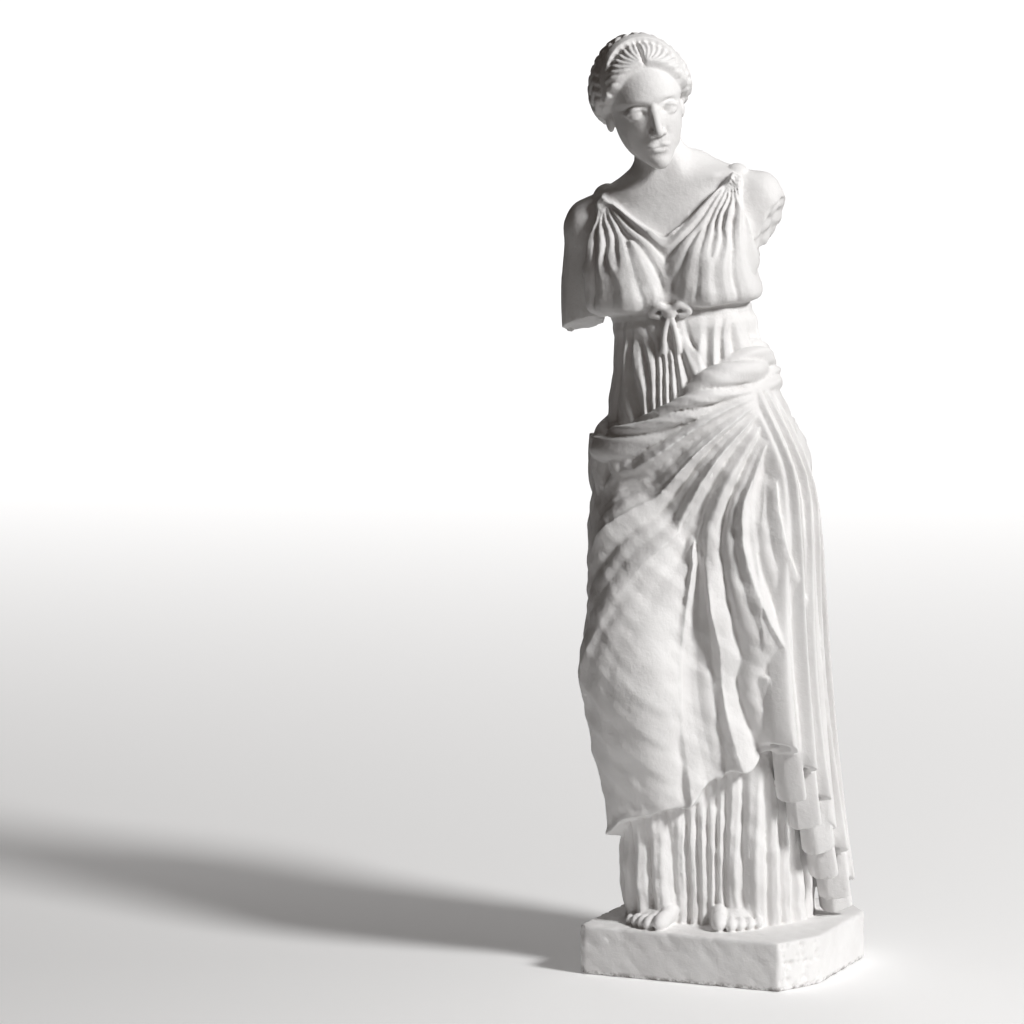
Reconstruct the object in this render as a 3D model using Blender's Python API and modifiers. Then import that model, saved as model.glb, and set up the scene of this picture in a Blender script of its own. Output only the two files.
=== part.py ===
"""A draped goddess of white plaster, cast in one with its low plinth.

The figure is carved as a sculptor would: masses of clay are laid on and fused into one skin,
the skin is smoothed, and the folds, hair and features are cut into it by functions.
All of the figure's sizes are shares of its height, and it faces -Y.
"""

import math

import bmesh
import bpy
import numpy as np
from mathutils import Euler, Matrix, Vector

# Driving sizes, in metres
FIGURE_HEIGHT = 0.398
PLINTH_LENGTH = 0.108
PLINTH_DEPTH = 0.100
PLINTH_HEIGHT = 0.022
# How much is cut off each corner of the plinth, along its front or back and along its side
FRONT_RIGHT_CUT = (0.011, 0.023)
BACK_RIGHT_CUT = (0.016, 0.020)
BACK_LEFT_CUT = (0.014, 0.012)
FRONT_LEFT_CUT = (0.003, 0.003)
PLINTH_EDGE = 0.0012
# Where the figure stands on the plinth, and how far it is turned to its left, in degrees
FIGURE_PLACE = (-0.011, 0.006)
FIGURE_TURN = 10.0

# How finely the clay is fused, as a share of the figure's height: the rough body, the skin that
# the folds are cut into, the head, and the whole figure at the end
CLAY_GRAIN = 0.0070
SKIN_GRAIN = 0.0025
HEAD_GRAIN = 0.0016
WHOLE_GRAIN = 0.0022
# The triangles left at the end, and how much finer the head is than the rest
FIGURE_TRIANGLES = 9600
HEAD_CARE = 1.8

# The head, as shares of the figure's height
HEAD_HEIGHT = 0.142
CHIN_HEIGHT = 0.853
# How far the head nods, leans to its left and turns to its left, in degrees
HEAD_TURN = (9.0, -11.0, 24.0)


def smooth_step(low, high, x):
    """0 below low, 1 above high, and a smooth rise between them."""
    t = np.clip((x - low) / (high - low), 0.0, 1.0)
    return t * t * (3.0 - 2.0 * t)


def along(stations, x):
    """The stations' columns at x, on a smooth curve through their rows; the first column is x."""
    stations = np.asarray(stations, float)
    knots, values = stations[:, 0], stations[:, 1:]
    slopes = np.gradient(values, knots, axis=0)
    x = np.clip(np.asarray(x, float), knots[0], knots[-1])
    i = np.clip(np.searchsorted(knots, x) - 1, 0, len(knots) - 2)
    gap = (knots[i + 1] - knots[i])[..., None]
    t = (x - knots[i])[..., None] / gap
    return (
        (2 * t**3 - 3 * t**2 + 1) * values[i]
        + (t**3 - 2 * t**2 + t) * gap * slopes[i]
        + (3 * t**2 - 2 * t**3) * values[i + 1]
        + (t**3 - t**2) * gap * slopes[i + 1]
    )


def loft(clay, rings):
    """Adds a closed skin through rings of as many points each, the first and last filled flat."""
    rows = [[clay.verts.new(point) for point in ring] for ring in rings]
    count = len(rows[0])
    for low, high in zip(rows, rows[1:]):
        for i in range(count):
            j = (i + 1) % count
            clay.faces.new((low[i], low[j], high[j], high[i]))
    clay.faces.new(rows[0][::-1])
    clay.faces.new(rows[-1])


def limb(clay, stations, sides=24):
    """Adds a round limb through stations of (x, y, z, radius), with flat ends."""
    stations = np.asarray(stations, float)
    steps = np.linspace(0, len(stations) - 1, 6 * len(stations))
    rows = along(np.column_stack([np.arange(len(stations)), stations]), steps)
    centres, radii = rows[:, :3], rows[:, 3]
    tangents = np.gradient(centres, axis=0)
    angles = np.linspace(0, 2 * np.pi, sides, endpoint=False)
    rings = []
    side = Vector((1, 0, 0))
    for centre, radius, tangent in zip(centres, radii, tangents):
        forward = Vector(tangent).normalized()
        side = (side - forward * side.dot(forward)).normalized()
        up = forward.cross(side)
        reach = [math.cos(a) * side + math.sin(a) * up for a in angles]
        rings.append([Vector(centre) + float(radius) * way for way in reach])
    loft(clay, rings)


def lump(clay, centre, radii, turn=(0, 0, 0)):
    """Adds an ellipsoid, turned by Euler angles in degrees."""
    rotation = Euler([math.radians(a) for a in turn]).to_matrix().to_4x4()
    place = Matrix.Translation(centre) @ rotation @ Matrix.Diagonal((*radii, 1))
    bmesh.ops.create_icosphere(clay, subdivisions=4, radius=1, matrix=place)


def pair(clay, centre, radii, turn=(0, 0, 0)):
    """Adds an ellipsoid and its mirror image on the other side of the middle plane."""
    x, y, z = centre
    a, b, c = turn
    lump(clay, (x, y, z), radii, (a, b, c))
    lump(clay, (-x, y, z), radii, (a, -b, -c))


def as_object(name, clay):
    mesh = bpy.data.meshes.new(name)
    clay.to_mesh(mesh)
    clay.free()
    result = bpy.data.objects.new(name, mesh)
    bpy.context.scene.collection.objects.link(result)
    return result


def evaluated(figure):
    """Applies the object's modifiers."""
    graph = bpy.context.evaluated_depsgraph_get()
    mesh = bpy.data.meshes.new_from_object(figure.evaluated_get(graph))
    old = figure.data
    figure.modifiers.clear()
    figure.data = mesh
    bpy.data.meshes.remove(old)


def fuse(figure, grain, rounds, strength=0.5):
    """Makes one skin of all the clay, and rubs it smooth."""
    skin = figure.modifiers.new("skin", "REMESH")
    skin.mode = "VOXEL"
    skin.voxel_size = grain
    skin.use_smooth_shade = True
    if rounds:
        rub = figure.modifiers.new("rub", "SMOOTH")
        rub.factor = strength
        rub.iterations = rounds
    evaluated(figure)


def points_of(figure):
    points = np.empty(len(figure.data.vertices) * 3)
    figure.data.vertices.foreach_get("co", points)
    return points.reshape(-1, 3)


def normals_of(figure):
    normals = np.empty(len(figure.data.vertices) * 3)
    figure.data.vertices.foreach_get("normal", normals)
    return normals.reshape(-1, 3)


def set_points(figure, points):
    figure.data.vertices.foreach_set("co", points.ravel())
    figure.data.update()


# The trunk and skirt, bottom to top: height, sideways and forward shift of the middle,
# half width, depth to the front, depth to the back
TRUNK = (
    (-0.02, 0.010, 0.000, 0.101, 0.080, 0.088),
    (0.04, 0.010, 0.000, 0.097, 0.074, 0.083),
    (0.12, 0.010, 0.000, 0.092, 0.067, 0.077),
    (0.20, 0.010, 0.000, 0.090, 0.064, 0.073),
    (0.28, 0.011, -0.002, 0.092, 0.064, 0.072),
    (0.36, 0.013, -0.004, 0.096, 0.068, 0.074),
    (0.44, 0.016, -0.004, 0.101, 0.072, 0.082),
    (0.50, 0.018, -0.004, 0.102, 0.072, 0.090),
    (0.54, 0.018, -0.006, 0.099, 0.070, 0.086),
    (0.58, 0.017, -0.008, 0.090, 0.066, 0.074),
    (0.62, 0.014, -0.006, 0.078, 0.059, 0.059),
    (0.655, 0.009, -0.002, 0.071, 0.053, 0.054),
    (0.69, 0.005, 0.002, 0.073, 0.052, 0.059),
    (0.73, 0.002, 0.005, 0.081, 0.055, 0.064),
    (0.77, 0.000, 0.008, 0.087, 0.053, 0.062),
    (0.80, 0.000, 0.011, 0.086, 0.045, 0.054),
    (0.82, 0.000, 0.013, 0.072, 0.038, 0.044),
    (0.838, 0.000, 0.013, 0.046, 0.032, 0.036),
    (0.85, 0.000, 0.011, 0.030, 0.028, 0.030),
)
TRUNK_ROUNDNESS = 2.3
# Limbs, as stations of the middle's x, y and z and the radius
RIGHT_ARM = (
    (-0.090, 0.012, 0.803, 0.029),
    (-0.100, 0.015, 0.768, 0.0295),
    (-0.109, 0.016, 0.710, 0.0275),
    (-0.114, 0.010, 0.640, 0.0245),
)
LEFT_ARM = (
    (0.093, 0.012, 0.803, 0.029),
    (0.105, 0.011, 0.780, 0.030),
    (0.115, 0.009, 0.752, 0.029),
)
# The bent right leg and the straight left one, with the cloth that hangs on them
RIGHT_LEG = (
    (-0.030, -0.004, 0.500, 0.062),
    (-0.044, -0.046, 0.410, 0.056),
    (-0.057, -0.088, 0.320, 0.046),
    (-0.059, -0.098, 0.280, 0.042),
    (-0.056, -0.088, 0.220, 0.039),
    (-0.048, -0.064, 0.120, 0.036),
    (-0.044, -0.050, -0.02, 0.036),
)
LEFT_LEG = (
    (0.064, -0.010, 0.480, 0.062),
    (0.058, -0.030, 0.380, 0.056),
    (0.052, -0.034, 0.280, 0.046),
    (0.049, -0.030, 0.200, 0.044),
    (0.048, -0.036, -0.02, 0.044),
)
# The cloth stretched between the legs
BETWEEN_LEGS = (
    (0.006, -0.036, 0.440, 0.036),
    (-0.002, -0.060, 0.330, 0.033),
    (-0.004, -0.062, 0.230, 0.033),
    (0.000, -0.050, 0.120, 0.034),
    (0.000, -0.044, -0.02, 0.034),
)
NECK = (
    (0.000, 0.018, 0.800, 0.041),
    (-0.004, 0.014, 0.832, 0.0325),
    (-0.011, 0.007, 0.862, 0.0285),
    (-0.021, 0.003, 0.905, 0.0280),
)


def trunk_ring(height, sides=96):
    x, y, width, front, back = along(TRUNK, np.array([height]))[0]
    angles = np.linspace(0, 2 * np.pi, sides, endpoint=False)
    across, ahead = np.sin(angles), -np.cos(angles)
    depth = np.where(ahead < 0, front, back)
    power = TRUNK_ROUNDNESS
    reach = (np.abs(across / width) ** power + np.abs(ahead / depth) ** power) ** (-1 / power)
    return [(x + r * a, y + r * b, height) for r, a, b in zip(reach, across, ahead)]


def body_clay():
    clay = bmesh.new()
    heights = np.linspace(TRUNK[0][0], TRUNK[-1][0], 70)
    loft(clay, [trunk_ring(h) for h in heights])
    # Breasts, seat and belly
    pair(clay, (0.040, -0.033, 0.733), (0.038, 0.037, 0.037))
    pair(clay, (0.070, -0.022, 0.742), (0.022, 0.026, 0.050))
    lump(clay, (0.064, 0.045, 0.515), (0.056, 0.050, 0.056))
    lump(clay, (-0.024, 0.040, 0.505), (0.056, 0.050, 0.056))
    # Shoulders, and the slope from the neck to them
    pair(clay, (0.094, 0.012, 0.795), (0.034, 0.033, 0.037), (0, 24, 0))
    for side in (1, -1):
        limb(
            clay,
            (
                (side * 0.016, 0.016, 0.856, 0.020),
                (side * 0.045, 0.015, 0.828, 0.024),
                (side * 0.090, 0.012, 0.804, 0.026),
            ),
        )
    # Collar bones and the neck's muscles down to the pit between them
    for side in (1, -1):
        limb(
            clay,
            (
                (side * 0.008, -0.020, 0.825, 0.0070),
                (side * 0.045, -0.017, 0.832, 0.0070),
                (side * 0.080, -0.006, 0.829, 0.0080),
            ),
        )
        limb(
            clay,
            (
                (side * 0.021 - 0.015, 0.004, 0.885, 0.0075),
                (side * 0.019 - 0.007, -0.012, 0.858, 0.0075),
                (side * 0.008, -0.022, 0.826, 0.0060),
            ),
        )
    limb(clay, RIGHT_ARM)
    limb(clay, LEFT_ARM)
    limb(clay, RIGHT_LEG)
    limb(clay, LEFT_LEG)
    limb(clay, BETWEEN_LEGS)
    limb(clay, NECK)
    return clay


# The head is modelled in its own frame: z from 0 at the chin to 1 at the crown, the face to -Y
HEAD_CENTRE = np.array((0.0, 0.02, 0.55))
PARTING_START = np.array((0.0, -0.36, 0.85))
BUN_CENTRE = np.array((0.0, 0.47, 0.44))
FACE_WAY = np.array((0.0, -0.993, -0.119))
# The plane of the hair band: the way it faces and how far along that it lies
BAND_WAY = np.array((0.0, -0.91, 0.414))
BAND_PLACE = 0.43
# Angle round the face axis from the top, and the hairline's angle from that axis, in degrees
HAIRLINE = ((0, 50), (30, 47), (55, 47), (80, 56), (100, 74), (130, 100), (180, 112))


def dome(distance, width):
    """A smooth hump, 1 at no distance and near 0 past twice the width."""
    return np.exp(-((distance / width) ** 2))


def spot(points, centre, widths):
    """A smooth hump in space round a centre, with a width along each axis."""
    return np.exp(-(((points - np.array(centre)) / np.array(widths)) ** 2).sum(axis=1))


def twin_spots(points, centre, widths):
    mirrored = points * np.array((-1.0, 1.0, 1.0))
    return spot(points, centre, widths) + spot(mirrored, centre, widths)


def skull_clay():
    clay = bmesh.new()
    lump(clay, (0, 0.06, 0.64), (0.320, 0.410, 0.350))
    lump(clay, (0, -0.105, 0.43), (0.270, 0.300, 0.400))
    lump(clay, (0, -0.08, 0.60), (0.295, 0.320, 0.300))
    pair(clay, (0.100, -0.12, 0.235), (0.100, 0.180, 0.140), (0, 0, 24))
    lump(clay, (0, -0.240, 0.165), (0.150, 0.150, 0.140))
    lump(clay, (0, -0.315, 0.090), (0.090, 0.085, 0.085))
    lump(clay, (0, -0.275, 0.235), (0.165, 0.126, 0.120))
    pair(clay, (0.108, -0.182, 0.335), (0.138, 0.150, 0.165))
    return clay


def face_clay(skull):
    clay = bmesh.new()
    clay.from_mesh(skull.data)
    # Nose
    limb(
        clay,
        (
            (0, -0.350, 0.600, 0.040),
            (0, -0.385, 0.510, 0.034),
            (0, -0.424, 0.410, 0.034),
            (0, -0.452, 0.345, 0.036),
            (0, -0.435, 0.318, 0.032),
        ),
    )
    pair(clay, (0.046, -0.405, 0.325), (0.030, 0.046, 0.030))
    pair(clay, (0.034, -0.345, 0.420), (0.050, 0.062, 0.120), (0, -10, 0))
    # Eyeballs
    pair(clay, (0.128, -0.283, 0.487), (0.082, 0.082, 0.072))
    # Lips
    pair(clay, (0.034, -0.348, 0.224), (0.070, 0.056, 0.028), (0, 10, -26))
    lump(clay, (0, -0.350, 0.181), (0.080, 0.056, 0.033))
    # Ears
    pair(clay, (0.288, -0.005, 0.395), (0.034, 0.048, 0.085), (10, 0, 0))
    return clay


def around(points, start, end):
    """The angle of each point round the line from start to end, from straight up, and its way along."""
    line = (end - start) / np.linalg.norm(end - start)
    offset = points - start
    travel = offset @ line
    offset = offset - np.outer(travel, line)
    side = np.array((1.0, 0.0, 0.0))
    up = np.cross(side, line)
    return np.degrees(np.arctan2(offset @ side, offset @ up)), travel


def hair_depth(points):
    """How far inside the hairline each point lies, in degrees, negative on the face."""
    ways = points - HEAD_CENTRE
    ways /= np.linalg.norm(ways, axis=1)[:, None]
    from_face = np.degrees(np.arccos(np.clip(ways @ FACE_WAY, -1, 1)))
    up = np.cross(FACE_WAY, np.array((1.0, 0.0, 0.0)))
    turn = np.degrees(np.arctan2(np.abs(ways[:, 0]), ways @ up))
    return from_face - along(HAIRLINE, turn)[:, 0]


def dress_hair(head):
    points, normals = points_of(head), normals_of(head)
    depth = hair_depth(points)
    angle, travel = around(points, PARTING_START, BUN_CENTRE)
    cover = smooth_step(-1.0, 5.0, depth)
    # Three waves on each side of the parting, thick over the temples and ears
    wave = angle / 13.0 + 0.30 * np.sign(angle) * np.sin(2 * np.pi * travel / 0.17 + 0.6)
    strands = np.abs(np.sin(np.pi * wave)) ** 0.7
    fine = np.abs(np.sin(np.pi * (4 * wave + 0.15 * np.sin(9 * travel)))) ** 0.8
    side = smooth_step(40, 110, np.abs(angle))
    body = 0.030 + 0.045 * side * smooth_step(0, 18, depth)
    parting = 0.030 * dome(points[:, 0], 0.014) * smooth_step(0.9, 0.3, travel)
    locks = body + 0.022 * strands + 0.008 * fine - parting
    # A flat band over the crown and down behind the ears holds the hair
    from_band = np.abs(points @ BAND_WAY - BAND_PLACE)
    band = smooth_step(0.036, 0.030, from_band)
    pinched = locks - 0.016 * dome(from_band - 0.050, 0.020)
    lift = cover * (band * 0.068 + (1 - band) * pinched)
    set_points(head, points + normals * lift[:, None])


def carve_face(head):
    points, normals = points_of(head), normals_of(head)
    x, y, z = points.T
    ahead = smooth_step(-0.10, -0.22, y)
    aside = np.abs(x)
    # Lids round an almond opening, the crease above them and the inner corners
    u = (aside - 0.130) / 0.072
    almond = np.clip(1 - u**2, 0, 1)
    over = z - (0.487 + 0.030 * almond**0.7 - 0.006 * u)
    under = (0.487 - 0.024 * almond**0.8 - 0.004 * u) - z
    near = dome(u, 1.15) * ahead
    upper = smooth_step(-0.006, 0.004, over) * (1 - smooth_step(0.018, 0.040, over))
    lower = smooth_step(-0.006, 0.004, under) * (1 - smooth_step(0.010, 0.034, under))
    lift = near * (0.019 * upper + 0.010 * lower)
    lift -= 0.010 * near * dome(over - 0.042, 0.013)
    # Mouth line, its corners, the groove above it and the hollow over the chin
    smile = 0.204 + 0.010 * (aside / 0.1) ** 2 - 0.006 * dome(x, 0.02)
    lift -= 0.006 * dome(z - smile, 0.008) * (1 - smooth_step(0.060, 0.112, aside)) * ahead
    lift -= 0.004 * twin_spots(points, (0.116, -0.34, 0.208), (0.022, 0.10, 0.022))
    lift -= 0.007 * spot(points, (0, -0.40, 0.268), (0.016, 0.10, 0.030))
    lift -= 0.009 * spot(points, (0, -0.38, 0.130), (0.070, 0.10, 0.022))
    # Nostrils and the fold beside each wing
    lift -= 0.008 * twin_spots(points, (0.024, -0.43, 0.293), (0.012, 0.03, 0.012))
    lift -= 0.010 * twin_spots(points, (0.082, -0.37, 0.322), (0.014, 0.08, 0.026))
    set_points(head, points + normals * lift[:, None])


def coiled_bun(grain):
    """The knot of hair at the nape, with its strands wound round."""
    clay = bmesh.new()
    lump(clay, BUN_CENTRE, (0.150, 0.120, 0.120))
    bun = as_object("bun", clay)
    fuse(bun, grain, 2)
    points, normals = points_of(bun), normals_of(bun)
    across, back, up = (points - BUN_CENTRE).T
    wound = np.arctan2(up, across) / (2 * np.pi) + 4.5 * np.hypot(across, up) / 0.150 + 1.2 * back / 0.120
    strands = np.abs(np.sin(np.pi * wound)) ** 0.7 + 0.25 * np.abs(np.sin(3 * np.pi * wound))
    set_points(bun, points + normals * (0.022 * strands - 0.008)[:, None])
    return bun


def head_of(grain):
    skull = as_object("head", skull_clay())
    fuse(skull, 0.022, 10)
    points, normals = points_of(skull), normals_of(skull)
    dent = 0.040 * twin_spots(points, (0.120, -0.36, 0.500), (0.075, 0.14, 0.048))
    aside = np.abs(points[:, 0])
    arch = 0.576 + 0.020 * (1 - ((aside - 0.110) / 0.110) ** 2)
    brow = 0.013 * dome(points[:, 2] - arch, 0.026) * dome(aside - 0.120, 0.130)
    brow *= smooth_step(-0.10, -0.20, points[:, 1])
    set_points(skull, points + normals * (brow - dent)[:, None])
    head = as_object("head", face_clay(skull))
    bpy.data.objects.remove(skull)
    fuse(head, grain, 3)
    carve_face(head)
    dress_hair(head)
    head = join("head", head, coiled_bun(grain))
    fuse(head, grain, 1)
    return head


def ragged(points, size):
    """An uneven field between about -1 and 1, with humps of about a size."""
    x, y, z = (points / size).T
    return (
        np.sin(1.9 * x + 2.3 * y + 0.7 * z + 1.0)
        + np.sin(2.9 * y - 2.1 * z + 0.5 * x + 2.0)
        + np.sin(3.3 * z + 2.5 * x - 1.7 * y)
    ) / 3


def pleats(phase, own=1.0, roundness=0.65):
    """Ridges at every whole step of phase, from 0 in the valleys to the ridges' own height."""
    return own * np.abs(np.sin(np.pi * phase)) ** roundness


def forks(u, v, places):
    """Adds to a phase where a ridge splits in two, at each of the places (u, v, 1 up or -1 down)."""
    turn = np.zeros_like(u)
    for u0, v0, way in places:
        turn += way * np.arctan2(u - u0, v - v0) / (2 * np.pi)
    return turn


def uneven(points, size, least):
    """Each fold's own height, between a least share and 1."""
    return least + (1 - least) * (0.5 + 0.5 * np.clip(1.6 * ragged(points, size), -1, 1))


class Wrap:
    """Where each point lies on the figure: its angle round the trunk from the front, and its height."""

    def __init__(self, points):
        self.points = points
        self.x, self.y, self.z = points.T
        middle = along(TRUNK, self.z)
        self.across = self.x - middle[:, 0]
        self.ahead = -(self.y - middle[:, 1])
        self.angle = np.degrees(np.arctan2(self.across, self.ahead))
        self.reach = np.hypot(self.across, self.ahead)
        self.width = middle[:, 2]

    def hump(self, angle, width):
        """1 at an angle round the trunk, falling off on both sides of it."""
        away = (self.angle - angle + 180) % 360 - 180
        return np.exp(-((away / width) ** 2))


ROLL_HEIGHT = 0.580
ROLL_RISE = 0.040
HEM_HEIGHT = 0.150
HEM_RISE = 0.060
GIRDLE_HEIGHT = 0.690
# The cloth that falls from the left hip
FALL_ANGLE = 70.0
FALL_TOP = 0.604
FALL_WIDTH = 0.050
FALL_SPREAD = 0.020
FALL_SLANT = 0.008
FALL_HEMS = (0.205, 0.150, 0.180, 0.118, 0.146, 0.086, 0.112, 0.056, 0.080, 0.028, 0.046, 0.010)
# The folds of the roll's end: the angle, how far each hangs down and its half width
TUCKS = (
    (-42, 0.046, 0.0105),
    (-51, 0.076, 0.0115),
    (-60, 0.058, 0.0120),
    (-69, 0.098, 0.0125),
    (-78, 0.070, 0.0125),
    (-87, 0.112, 0.0125),
    (-96, 0.066, 0.0115),
)


# Where folds split: the angle or slope in degrees, the height or distance scaled to match it,
# and 1 where the ridge splits upward or -1 where it splits downward
UNDER_FORKS = ((-64, 48, -1), (-22, 56, -1), (18, 62, -1), (47, 52, -1), (150, 40, -1), (-150, 30, 1))
MANTLE_FORKS = ((40, 62, 1), (12, 88, 1), (-6, 60, -1), (60, 95, 1), (-20, 95, 1), (-45, 80, 1))
SIDE_FORKS = ((-92, 132, -1), (-112, 120, 1), (96, 100, 1))
WAIST_FORKS = ((-40, 398, -1), (22, 388, 1), (58, 402, -1), (150, 392, 1), (-140, 398, 1))
BODICE_FORKS = ((28, 34, 1), (48, 30, 1), (14, 46, -1))


def roll_line(angle):
    return ROLL_HEIGHT + ROLL_RISE * np.sin(np.radians(angle - 12))


def hem_line(angle):
    return HEM_HEIGHT + HEM_RISE * np.sin(np.radians(angle + 10))


def drape_skirt(wrap):
    """How far the cloth below the roll stands out."""
    angle, z = wrap.angle, wrap.z
    around_hips = np.radians(angle)
    # The under-dress falls in deep pleats to the ground
    stray = 0.40 * np.sin(3 * around_hips + 0.7) + 0.22 * np.sin(7 * around_hips - 0.35)
    drift = 0.25 * np.sin(6 * z + 2 * around_hips)
    phase = angle / 11.0 + stray + drift + forks(angle, 300 * z, UNDER_FORKS)
    own = uneven(wrap.points, 0.060, 0.55)
    fine = 0.16 * pleats(2.7 * phase + 0.3 * np.sin(30 * z), 1.0, 0.9)
    under = 0.013 * (pleats(phase, own) + fine) * smooth_step(0.34, 0.05, z)
    # The mantle's folds spring from the left hip and sweep round to the right leg
    hip_angle, hip_height = 80.0, 0.600
    away = (hip_angle - angle) % 360
    away = np.where(away > 200, away - 360, away)
    sideways = 0.092 * np.radians(away)
    fall = hip_height - z
    distance = np.hypot(sideways, fall)
    slope = np.degrees(np.arctan2(fall, sideways)) - 60 * distance
    knee = spot(wrap.points, (-0.056, -0.130, 0.300), (0.040, 0.060, 0.085))
    thigh = spot(wrap.points, (-0.040, -0.100, 0.400), (0.036, 0.050, 0.080))
    shin = spot(wrap.points, (-0.062, -0.110, 0.200), (0.022, 0.050, 0.060))
    between = spot(wrap.points, (0.000, -0.090, 0.290), (0.018, 0.060, 0.130))
    taut = 1 - 0.75 * np.clip(knee + 0.7 * thigh + 0.35 * shin + 0.6 * between, 0, 1)
    phase = slope / 9.5 + 0.35 * np.sin(9 * distance + 1.0) + forks(slope, 300 * distance, MANTLE_FORKS)
    own = uneven(wrap.points, 0.070, 0.45)
    sweep = 0.45 * pleats(phase, own, 0.8) + 0.65 * own * (1 - pleats(phase + 0.35, 1.0, 0.75)) ** 1.2
    sweep += pleats(2.6 * phase + 0.3, 0.15, 0.9)
    sweep *= 1 - 0.62 * wrap.hump(185, 80)
    sweep = 0.023 * sweep * smooth_step(0.02, 0.13, distance) * taut
    phase = angle / 12.0 + 0.3 * np.sin(9 * z) + 0.25 + forks(angle, 300 * z, SIDE_FORKS)
    hanging = 0.014 * (pleats(phase, own) + pleats(2.6 * phase, 0.15, 0.9)) * smooth_step(0.56, 0.40, z)
    beside = wrap.hump(-92, 36) + wrap.hump(100, 30)
    over = sweep * smooth_step(0.55, 0.20, beside) + hanging * smooth_step(0.35, 0.75, beside)
    ripple = 0.004 * np.sin(9 * around_hips) + 0.003 * np.sin(17 * around_hips + 1)
    hem = hem_line(angle) - 0.35 * over + ripple
    mantle = smooth_step(-0.0015, 0.0015, z - hem)
    # The hem is a little thicker, and its cloth curls out
    rim = 0.0022 * dome(z - hem - 0.003, 0.0045)
    below_roll = smooth_step(0.010, -0.012, z - roll_line(angle))
    crease = 0.0016 * ragged(wrap.points, 0.022) + 0.0009 * ragged(wrap.points[:, ::-1], 0.009)
    return below_roll * (mantle * (0.011 + over + rim) + (1 - mantle) * under + crease)


def drape_bodice(wrap):
    """How far the dress above the roll stands out from the body."""
    x, z = wrap.x, wrap.z
    aside = np.hypot(x, 0.012)
    front = smooth_step(-0.01, 0.01, wrap.ahead)
    neckline = 0.772 + 0.060 * (np.abs(x) / 0.074) ** 1.3
    nape = 0.815 + 0.020 * (np.abs(x) / 0.074) ** 2
    top = front * neckline + (1 - front) * nape
    armhole = 0.083 + 0.30 * np.clip(0.790 - z, 0, None) ** 1.1
    cover = smooth_step(0.0015, -0.0015, z - top) * smooth_step(0.0015, -0.0015, np.abs(x) - armhole)
    trunk_only = smooth_step(0.020, 0.008, np.abs(wrap.across) - wrap.width)
    from_pin = np.degrees(np.arctan2(0.078 - aside, 0.836 - z))
    bust = twin_spots(wrap.points, (0.040, -0.066, 0.738), (0.024, 0.030, 0.026))
    own = uneven(wrap.points, 0.045, 0.5)
    phase = from_pin / 8.5 + 0.15 * np.sin(40 * z) + 0.2 * np.sin(60 * x)
    phase += forks(from_pin, 500 * (0.836 - z), BODICE_FORKS)
    hang = pleats(phase, own, 0.75) + pleats(2.6 * phase, 0.18, 0.9)
    above = 0.0070 * hang * (1 - 0.70 * np.clip(bust, 0, 1)) * smooth_step(0.69, 0.72, z)
    around_waist = np.radians(wrap.angle)
    stray = 0.60 * np.sin(3 * around_waist + 0.9) + 0.35 * np.sin(7 * around_waist + 24 * (0.69 - z))
    phase = wrap.angle / 12.5 + stray + 4.0 * (0.69 - z) * np.sin(2 * around_waist)
    phase += forks(wrap.angle, 600 * z, WAIST_FORKS)
    gathers = pleats(phase, own, 0.8) + pleats(2.4 * phase + 0.2, 0.20, 0.9)
    below = 0.0085 * gathers * smooth_step(0.700, 0.640, z)
    blouse = 0.010 * dome(z - 0.706, 0.011) + 0.004 * dome(z - 0.672, 0.010)
    crease = 0.0007 * ragged(wrap.points, 0.014)
    rim = 0.0016 * dome(top - z - 0.003, 0.0030)
    cloth = 0.005 + above + below + blouse + crease + rim
    girdle = smooth_step(0.0085, 0.0065, np.abs(z - GIRDLE_HEIGHT))
    cord = 0.0075 - 0.0022 * dome(z - GIRDLE_HEIGHT, 0.0016)
    over_roll = smooth_step(-0.012, 0.006, z - roll_line(wrap.angle))
    return over_roll * cover * trunk_only * (girdle * cord + (1 - girdle) * cloth)


def dress(body):
    """Moves the skin out where the cloth lies on it."""
    wrap = Wrap(points_of(body))
    lift = drape_skirt(wrap) + drape_bodice(wrap)
    normals = normals_of(body)
    level = np.column_stack([wrap.across, -wrap.ahead, np.zeros(len(lift))])
    level /= np.linalg.norm(level, axis=1)[:, None]
    way = normals + 0.6 * level * smooth_step(0.50, 0.30, wrap.z)[:, None]
    way /= np.linalg.norm(way, axis=1)[:, None]
    set_points(body, wrap.points + way * lift[:, None])


def surface_reach(angle, height):
    """The trunk's half width in a direction, at a height."""
    x, y, width, front, back = along(TRUNK, np.array([height]))[0]
    across, ahead = math.sin(math.radians(angle)), math.cos(math.radians(angle))
    depth = front if ahead > 0 else back
    power = TRUNK_ROUNDNESS
    reach = (abs(across / width) ** power + abs(ahead / depth) ** power) ** (-1 / power)
    return np.array((x + reach * across, y - reach * ahead, height)), reach


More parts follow.
